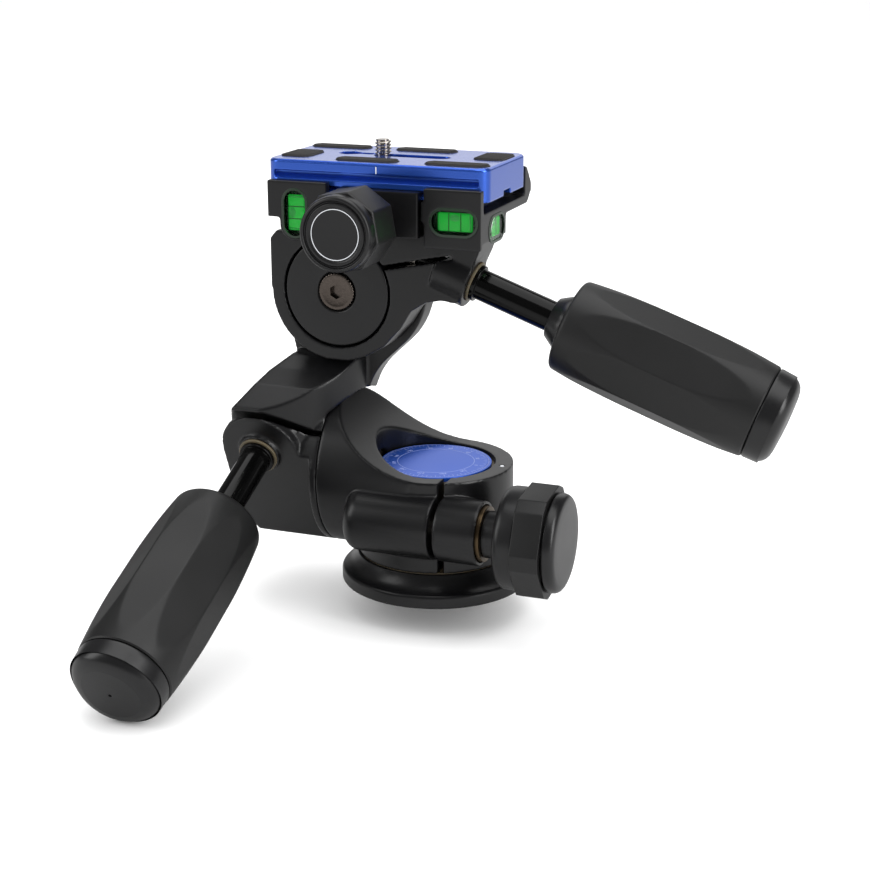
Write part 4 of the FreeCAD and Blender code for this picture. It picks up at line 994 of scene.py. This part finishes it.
# ---- spirit levels
class HEAD_OT_vials(bpy.types.Operator):
    """Models the three spirit levels: holder, tube with its lines and bubble, bezel and lens"""
    bl_idname = "head.vials"
    bl_label = "Spirit levels"
    pocket = (18.0, 9.6, 8.4)           # length, width and depth
    play = 0.3                          # of the holder and the lens in the pocket
    holder_lift = 0.1                   # over the pocket's floor
    holder_front = -2.6
    tube = (13.3, 6.7)
    tube_corner = 0.8
    tube_edge = 0.4
    tube_span = (-2.8, -1.75)
    lens_front = 0.2
    lens_back = 1.4
    end_bar = (0.7, 0.5, 0.8, -1.60)    # in from the tube's end, width, gap to the tube's width, front
    line_bar = (2.3, 0.32, 0.2, -1.66)  # out from the tube's middle, and the rest as for end_bar
    bar_back = -1.8
    bar_edge = 0.05
    bezel_over = (0.9, 1.2)             # how much longer and wider than the pocket
    bezel_under = 0.9                   # how much smaller its hole is than the pocket
    bezel_span = (-0.1, 0.16)
    bezel_edge = 0.12
    bubble_size = (1.9, 1.3, 0.12)
    bubble_place = (0.24, -1.74)        # up, as a share of the tube's width, and out

    def level(self, side, face, along, out):
        """One level; face is the middle of its pocket's mouth, out points from it."""
        length, width, depth = self.pocket
        tube_l, tube_w = self.tube
        mouth = stadium(length - self.play, width - self.play)
        holder = slab(side + "_vial_holder", mouth, self.holder_lift - depth, self.holder_front, 0.2)
        half_l, half_w = tube_l / 2, tube_w / 2
        outline = [(x, y, self.tube_corner) for x, y in oblong(-half_l, -half_w, half_l, half_w)]
        cell = slab(side + "_vial_tube", soften(outline), *self.tube_span, self.tube_edge)
        end_in, end_wide, end_gap, end_front = self.end_bar
        line_out, line_wide, line_gap, line_front = self.line_bar
        ends, lines = [], []
        for sign in (-1, 1):
            ends.append(self.bar("end", sign * (half_l - end_in), end_wide, tube_w - end_gap, end_front))
            lines.append(self.bar("line", sign * line_out, line_wide, tube_w - line_gap, line_front))
        over_l, over_w = self.bezel_over
        rim = stadium(length + over_l, width + over_w)
        bezel = slab(side + "_vial_bezel", rim, *self.bezel_span, self.bezel_edge)
        hole = stadium(length - self.bezel_under, width - self.bezel_under)
        cut_away(bezel, slab("cutter", hole, -3, 1))
        lens = slab(side + "_vial_window", mouth, -self.lens_back, -self.lens_front, 0.2)
        made = [
            (holder, "vial_dark", "vial_fluid", ()),
            # The tube's finish carries a painted glow.
            (cell, "vial_green_painted_glow", "vial_fluid", (side + "_vial_cell",)),
            (join(side + "_vial_ends", ends), "vial_light", "vial_fluid", ()),
            (join(side + "_vial_lines", lines), "black_ink", "vial_fluid", ()),
            (self.bubble(side, tube_w), "vial_light", "vial_fluid", ()),
            (bezel, "bezel_plastic", "clear_lens", ()),
            (lens, "lens_plastic", "clear_lens", (side + "_vial_lens",)),
        ]
        for obj, finish, slot, nodes in made:
            set_in_face(obj, face, along, out)
            fit(obj, finish, "tilt_body", slot, *nodes)

    def bar(self, name, x, wide, tall, front):
        """A narrow bar across the tube, its middle at x."""
        outline = oblong(x - wide / 2, -tall / 2, x + wide / 2, tall / 2)
        return slab(name, outline, self.bar_back, front, self.bar_edge)

    def bubble(self, side, tube_w):
        """The bubble, a flat drop at the top side of the tube."""
        clear_pick()
        bpy.ops.mesh.primitive_uv_sphere_add(segments=32, ring_count=16, radius=MM)
        drop = newest(side + "_vial_bubble")
        up, out = self.bubble_place
        return settle(drop, shift(0, tube_w * up, out) @ Matrix.Diagonal((*self.bubble_size, 1)))

    def execute(self, context):
        low, _ = corners("platform_casting")
        for side, along in (("left", UP), ("front", RIGHT)):
            x, _, z = middle(side + "_vial_lens")
            self.level(side, (x, low.y, z), along, FRONT)
        _, y, z = middle("side_vial_lens")
        _, high = corners("side_vial_lens")
        self.level("side", (high.x + self.lens_front, y, z), BACK, RIGHT)
        return {"FINISHED"}


# ---- quick release knob
class HEAD_OT_release_knob(bpy.types.Operator):
    """Models the eight sided quick release knob and its face with raised rings"""
    bl_idname = "head.release_knob"
    bl_label = "Release knob"
    sides = 8
    flat = 13.9
    corner = 1.1
    turn = 10.0
    neck_r = 10.0
    grip_length = 19.0
    spring_bore = 7.5
    face_bore = 7.35
    spindle_bore = 3.55
    spindle_from = 17.0                 # the bores' steps, back from the front of the grip
    spindle_to = 14.0
    # The face from its rim inwards: in from the side, back from the front, and rounding.
    face_steps = ((0.5, 0.2, 0.6), (1.5, 0.0, 0.5), (1.9, 1.1, 0.3), (2.3, 1.1, 0.2), (2.7, 0.45, 0.3),
                  (3.7, 0.45, 0.4), (4.0, 0.7, 0.2))
    printed_ring = (9.0, 0.13)          # radius and half its width

    def execute(self, context):
        low, high = corners("qr_knob_grip")
        centre = middle("qr_knob_face")
        length = high.y - low.y
        # Heights run from the back of the neck (0) to the front of the grip.
        back = length - self.grip_length
        flat = self.flat
        step_back, step_front = length - self.spindle_from, length - self.spindle_to
        grip = turned("release_grip_moulded", [
            (self.spring_bore, 0), (self.neck_r, 0, 0.4), (self.neck_r, back, 0.6), (flat - 2.0, back, 0.8),
            (flat, back + 1.2, 1.2), (flat, length - 0.6, 0.5), (flat - 0.5, length, 0.3),
            (self.face_bore, length), (self.face_bore, step_front), (self.spindle_bore, step_front),
            (self.spindle_bore, step_back), (self.spring_bore, step_back)], 2 * FINE)
        turn = math.radians(self.turn)

        def radius_at(r, angle, z):
            if r < self.neck_r + 0.05:
                return r
            return r * polygon_radius(angle, self.sides, flat, self.corner, turn) / flat
        reshape(grip, radius_at)
        fit(place(grip, (centre.x, high.y, centre.z), FRONT), "knob_rubber_satin", "qr_knob", "knob_rubber",
            "qr_knob_grip")
        self.face(centre)
        return {"FINISHED"}

    def face(self, centre):
        """The round face: a raised rim, a groove, a thin raised ring and a flat middle."""
        low, high = corners("qr_knob_face")
        r = (high.x - low.x) / 2
        thick = high.y - low.y
        steps = [(r - inward, thick - back, rounding) for inward, back, rounding in self.face_steps]
        floor = steps[-1][1]
        face = turned("release_face_turned", [
            (0, 0), (r, 0), (r, thick - 1.4, 0.9), *steps, (0, floor)], FINE)
        origin = (centre.x, high.y, centre.z)
        fit(place(face, origin, FRONT), "knob_plastic", "qr_knob", "black_plastic", "qr_knob_face")
        ring_r, half = self.printed_ring
        ring = turned("release_face_ring", [
            (ring_r - half, floor - 0.05), (ring_r + half, floor - 0.05), (ring_r + half, floor + 0.04),
            (ring_r - half, floor + 0.04)], FINE)
        fit(place(ring, origin, FRONT), "white_ink", "qr_knob", "white_paint")


# ---- quick release plate
class HEAD_OT_plate(bpy.types.Operator):
    """Bevels the plate's machined edges and adds its two index marks"""
    bl_idname = "head.plate"
    bl_label = "Plate"
    mark_x = -14.7
    most_triangles = 190000
    tick = (3.7, 1.2, 0.2)              # its foot and head under the plate's top, and half its width
    dash = (1.7, 2.5, 0.9)              # its foot and head over the plate's underside, and half its width

    def execute(self, context):
        sizes = context.scene.head_sizes
        plate = copy_of(frame["nodes"]["plate_body"], "plate_machined")
        close_up(plate)
        modify(plate, "REMESH", mode="VOXEL", voxel_size=sizes.plate_cell, adaptivity=0.0)
        modify(plate, "SMOOTH", factor=0.5, iterations=2)
        thin_out(plate, self.most_triangles)
        fit(plate, "blue_anodise", "plate", "blue_anodised", "plate_body")
        low, high = corners("plate_body")
        height = sizes.mark_height / MM
        tick_foot, tick_head, tick_half = self.tick
        dash_foot, dash_head, dash_half = self.dash
        marks = []
        for z0, z1, half in ((high.z - tick_foot, high.z - tick_head, tick_half),
                             (low.z + dash_foot, low.z + dash_head, dash_half)):
            outline = oblong(self.mark_x - half, z0, self.mark_x + half, z1)
            marks.append(set_in_face(slab("mark", outline, -height, height), (0, low.y, 0), RIGHT, FRONT))
        fit(join("plate_marks", marks), "white_ink", "plate", "white_paint")
        return {"FINISHED"}


class HEAD_OT_pads(bpy.types.Operator):
    """Models the six rubber pads with their fine ridges and toothed edges"""
    bl_idname = "head.pads"
    bl_label = "Pads"
    side_pad = (25.0, 8.0)
    end_pad = (18.0, 12.5)
    side_places = ((29.8, -16.3), (-5.7, -16.3))
    end_place = (36.0, 7.5)
    side_corner = 3.95
    end_corner = 4.0
    pad_play = 0.1                      # how much smaller a pad is than its place
    point_gap = 0.25                    # between the outline's points
    base_edge = 0.15
    ridge_pitch = 1.0
    ridge_half = 0.3
    ridge_rise = 0.35                   # over the pad's base
    ridge_foot = 0.6                    # how far under the pad's top a ridge starts
    ridge_in = 0.6                      # from the pad's ends
    ridge_edge = 0.14
    tooth = 0.22

    def pad_outline(self, length, width, corner):
        """Points of a rounded oblong, close enough together for the teeth."""
        points = []
        reach_x, reach_y = length / 2 - corner, width / 2 - corner
        turns = 16
        for sx, sy, start in ((1, 1, 0), (-1, 1, 1), (-1, -1, 2), (1, -1, 3)):
            for k in range(turns + 1):
                angle = (start + k / turns) * math.pi / 2
                points.append(Vector((sx * reach_x + corner * math.cos(angle),
                                      sy * reach_y + corner * math.sin(angle))))
        fine = []
        for here, after in zip(points, points[1:] + points[:1]):
            gap = (after - here).length
            steps = max(int(gap / self.point_gap), 1)
            fine += [here.lerp(after, k / steps) for k in range(steps) if gap > 1e-4]
        return fine

    def pad(self, length, width, corner, z0, z1):
        """One pad, long along X, with ridges along its top and teeth round its edge."""
        points = []
        for point in self.pad_outline(length - self.pad_play, width - self.pad_play, corner):
            tooth = self.tooth * math.cos((point.x + point.y) * math.tau / self.ridge_pitch)
            points.append(point - point.normalized() * max(tooth, 0.0))
        pad = slab("pad", points, z0, z1 - self.ridge_rise, self.base_edge, edge_steps=2)
        half = self.ridge_half
        ridges = []
        count = int(width / self.ridge_pitch) - 1
        for i in range(count):
            y = (i - (count - 1) / 2) * self.ridge_pitch
            over = max(abs(y) - (width / 2 - corner), 0.0)
            round_end = math.sqrt(max(corner ** 2 - over ** 2, 0.0))
            reach = length / 2 - corner + round_end - self.ridge_in
            ridges.append(slab("ridge", oblong(-reach, y - half, reach, y + half), z1 - self.ridge_foot,
                               z1, self.ridge_edge, edge_steps=2))
        return join("pad", [pad] + ridges)

    def execute(self, context):
        low, high = corners("plate_pads")
        cx, cy, _ = middle("plate_body")
        pads = []
        for side in (1, -1):
            for dx, dy in self.side_places:
                pad = self.pad(*self.side_pad, self.side_corner, low.z, high.z)
                pads.append(settle(pad, shift(cx + side * dx, cy + side * dy, 0)))
            pad = self.pad(*self.end_pad, self.end_corner, low.z, high.z)
            dx, dy = self.end_place
            quarter_turn = Matrix.Rotation(math.pi / 2, 4, "Z")
            pads.append(settle(pad, shift(cx + side * dx, cy + side * dy, 0) @ quarter_turn))
        fit(join("plate_pads_moulded", pads), "pad_rubber", "plate", "grip_rubber", "plate_pads")
        return {"FINISHED"}


class HEAD_OT_camera_screw(bpy.types.Operator):
    """Turns the camera screw and cuts its thread"""
    bl_idname = "head.camera_screw"
    bl_label = "Camera screw"
    head_r = 6.3
    neck_r = 2.7
    neck_length = 7.6
    thread_r = 3.175
    top_r = 2.2
    core_r = 2.3
    rings_per_turn = 18
    groove_half = 0.42                  # half the groove's width, as a share of the pitch
    groove_floor = 1.15                 # over 1, the groove has a flat floor
    chamfer = (0.7, 0.8)                # its length, and how steeply it narrows

    def execute(self, context):
        sizes = context.scene.head_sizes
        low, high = corners("camera_screw")
        washer_low, _ = corners("camera_screw_washer")
        top = high.z - low.z
        head = washer_low.z - low.z
        start = head + self.neck_length
        pitch = sizes.thread_pitch / MM
        depth = sizes.thread_depth / MM
        rings = int((top - start) / pitch * self.rings_per_turn)
        side = [(self.thread_r, start + (top - start) * k / rings) for k in range(rings + 1)]
        screw = turned("camera_screw_cut", [
            (0, 0), (self.head_r, 0, 0.3), (self.head_r, head, 0.3), (self.neck_r, head),
            (self.neck_r, start - 0.01), *side, (self.top_r, top), (0, top)], FINE)
        chamfer_l, chamfer_slope = self.chamfer

        def radius_at(r_here, angle, z):
            if r_here < self.neck_r + 0.1 or z < start - 0.005:
                return r_here
            phase = (z / pitch - angle / math.tau) % 1.0
            groove = 1 - min(abs(phase - 0.5) / self.groove_half, 1.0)
            chamfer = max(0.0, z - (top - chamfer_l))
            cut = depth * min(groove * self.groove_floor, 1.0)
            return max(r_here - cut - chamfer * chamfer_slope, self.core_r)
        reshape(screw, radius_at)
        centre = middle("camera_screw")
        settle(screw, shift(centre.x, centre.y, low.z))
        fit(screw, "stainless", "camera_screw", "steel", "camera_screw")
        return {"FINISHED"}


# ---- stage
class HEAD_OT_stage(bpy.types.Operator):
    """Sets up the pale floor, the soft studio light and the camera"""
    bl_idname = "head.stage"
    bl_label = "Stage"
    camera_place = (0.2250, -0.6029, 0.2544)
    camera_forward = (-0.335, 0.896, -0.291)
    lens = 70.604
    sensor = 36.0
    floor_size = 40.0
    floor_gap = 0.0003
    even_light = (1.06, 1.06, 1.06, 1.0)
    glossy_light = (0.12, 0.12, 0.12, 1.0)
    floor_bounce = (0.46, 0.46, 0.46, 1.0)
    floor_shown = (0.98, 0.98, 0.98, 1.0)
    lit_point = (0.0, 0.0, 0.08)
    panels = (                          # place, size and power of each panel of light
        ("top_light", (0.1, 0.1, 1.3), (1.6, 1.2), 11.0),
        ("left_light", (-1.2, -0.9, 0.8), (0.7, 1.2), 8.0),
        ("right_light", (1.3, -0.3, 0.7), (0.6, 1.2), 13.0),
        ("back_light", (-0.55, 1.6, 0.72), (2.2, 0.9), 5.0),
    )

    def floor(self):
        """A floor as pale as the backdrop, which throws back less light than it shows."""
        clear_pick()
        ground = CAD_BOX[0][2] - self.floor_gap
        bpy.ops.mesh.primitive_plane_add(size=self.floor_size, location=(0, 0, ground))
        plane = newest("floor")
        material = bpy.data.materials.new("floor_paper")
        material.use_nodes = True
        tree = material.node_tree
        shader = tree.nodes["Principled BSDF"]
        set_inputs(shader, Roughness=0.9, Specular_IOR_Level=0.1)
        path = tree.nodes.new("ShaderNodeLightPath")
        colour = self.mixed(tree, path.outputs["Is Camera Ray"], self.floor_bounce, self.floor_shown)
        tree.links.new(colour, shader.inputs["Base Color"])
        plane.data.materials.append(material)

    def sky(self):
        """A white backdrop that lights evenly and shows as a soft grey in reflections."""
        world = bpy.data.worlds.new("studio")
        bpy.context.scene.world = world
        world.use_nodes = True
        tree = world.node_tree
        background = tree.nodes["Background"]
        path = tree.nodes.new("ShaderNodeLightPath")
        colour = self.mixed(tree, path.outputs["Is Glossy Ray"], self.even_light, self.glossy_light)
        colour = self.mixed(tree, path.outputs["Is Camera Ray"], colour, (1.0, 1.0, 1.0, 1.0))
        tree.links.new(colour, background.inputs["Color"])
        set_inputs(background, Strength=1.0)

    def mixed(self, tree, factor, first, second):
        """A colour that is the second one where the factor is 1; each is a socket or a value."""
        mix = tree.nodes.new("ShaderNodeMix")
        mix.data_type = "RGBA"
        tree.links.new(factor, mix.inputs["Factor"])
        for key, value in (("A", first), ("B", second)):
            if isinstance(value, tuple):
                mix.inputs[key].default_value = value
            else:
                tree.links.new(value, mix.inputs[key])
        return mix.outputs["Result"]

    def soft_light(self, name, place_at, size, power):
        """A soft panel of light that isn't seen itself."""
        clear_pick()
        bpy.ops.object.light_add(type="AREA", location=place_at)
        lamp = bpy.context.active_object
        lamp.name = name
        lamp.data.shape = "RECTANGLE"
        lamp.data.size, lamp.data.size_y = size
        lamp.data.energy = power
        lamp.visible_camera = False
        aim = Vector(self.lit_point) - Vector(place_at)
        lamp.rotation_euler = aim.to_track_quat("-Z", "Y").to_euler()

    def camera(self):
        """The camera, above the head and to its right."""
        clear_pick()
        bpy.ops.object.camera_add(location=self.camera_place)
        camera = bpy.context.active_object
        camera.name = "camera"
        camera.rotation_euler = Vector(self.camera_forward).to_track_quat("-Z", "Y").to_euler()
        camera.data.sensor_width = self.sensor
        camera.data.lens = self.lens
        camera.data.clip_start = 0.01
        bpy.context.scene.camera = camera

    def execute(self, context):
        self.floor()
        self.sky()
        for panel in self.panels:
            self.soft_light(*panel)
        self.camera()
        context.scene.view_settings.view_transform = "Standard"
        return {"FINISHED"}


class HEAD_PT_panel(bpy.types.Panel):
    """Lists the steps that dress the head"""
    bl_idname = "HEAD_PT_panel"
    bl_label = "Three Way Head"
    bl_space_type = "VIEW_3D"
    bl_region_type = "UI"
    bl_category = "Head"

    def draw(self, context):
        for group in (context.scene.head_sizes, context.scene.head_colours):
            box = self.layout.box()
            for name in group.__annotations__:
                box.prop(group, name)
        for operator in OPERATORS:
            self.layout.operator(operator.bl_idname)


OPERATORS = (HEAD_OT_finishes, HEAD_OT_castings, HEAD_OT_base_plate, HEAD_OT_scale_disc, HEAD_OT_pan_knob,
             HEAD_OT_tilt_cover, HEAD_OT_handles, HEAD_OT_vials, HEAD_OT_release_knob, HEAD_OT_plate,
             HEAD_OT_pads, HEAD_OT_camera_screw, HEAD_OT_stage)
CLASSES = (HeadSizes, HeadColours, HEAD_PT_panel) + OPERATORS


def register():
    for cls in CLASSES:
        bpy.utils.register_class(cls)
    bpy.types.Scene.head_sizes = PointerProperty(type=HeadSizes)
    bpy.types.Scene.head_colours = PointerProperty(type=HeadColours)


def unregister():
    del bpy.types.Scene.head_colours
    del bpy.types.Scene.head_sizes
    for cls in reversed(CLASSES):
        bpy.utils.unregister_class(cls)


def main():
    """Runs every step in order."""
    register()
    bpy.ops.head.finishes()
    bpy.ops.head.castings()
    bpy.ops.head.base_plate()
    bpy.ops.head.scale_disc()
    bpy.ops.head.pan_knob()
    bpy.ops.head.tilt_cover()
    bpy.ops.head.handles()
    bpy.ops.head.vials()
    bpy.ops.head.release_knob()
    bpy.ops.head.plate()
    bpy.ops.head.pads()
    bpy.ops.head.camera_screw()
    bpy.ops.head.stage()


if __name__ == "__main__":
    main()
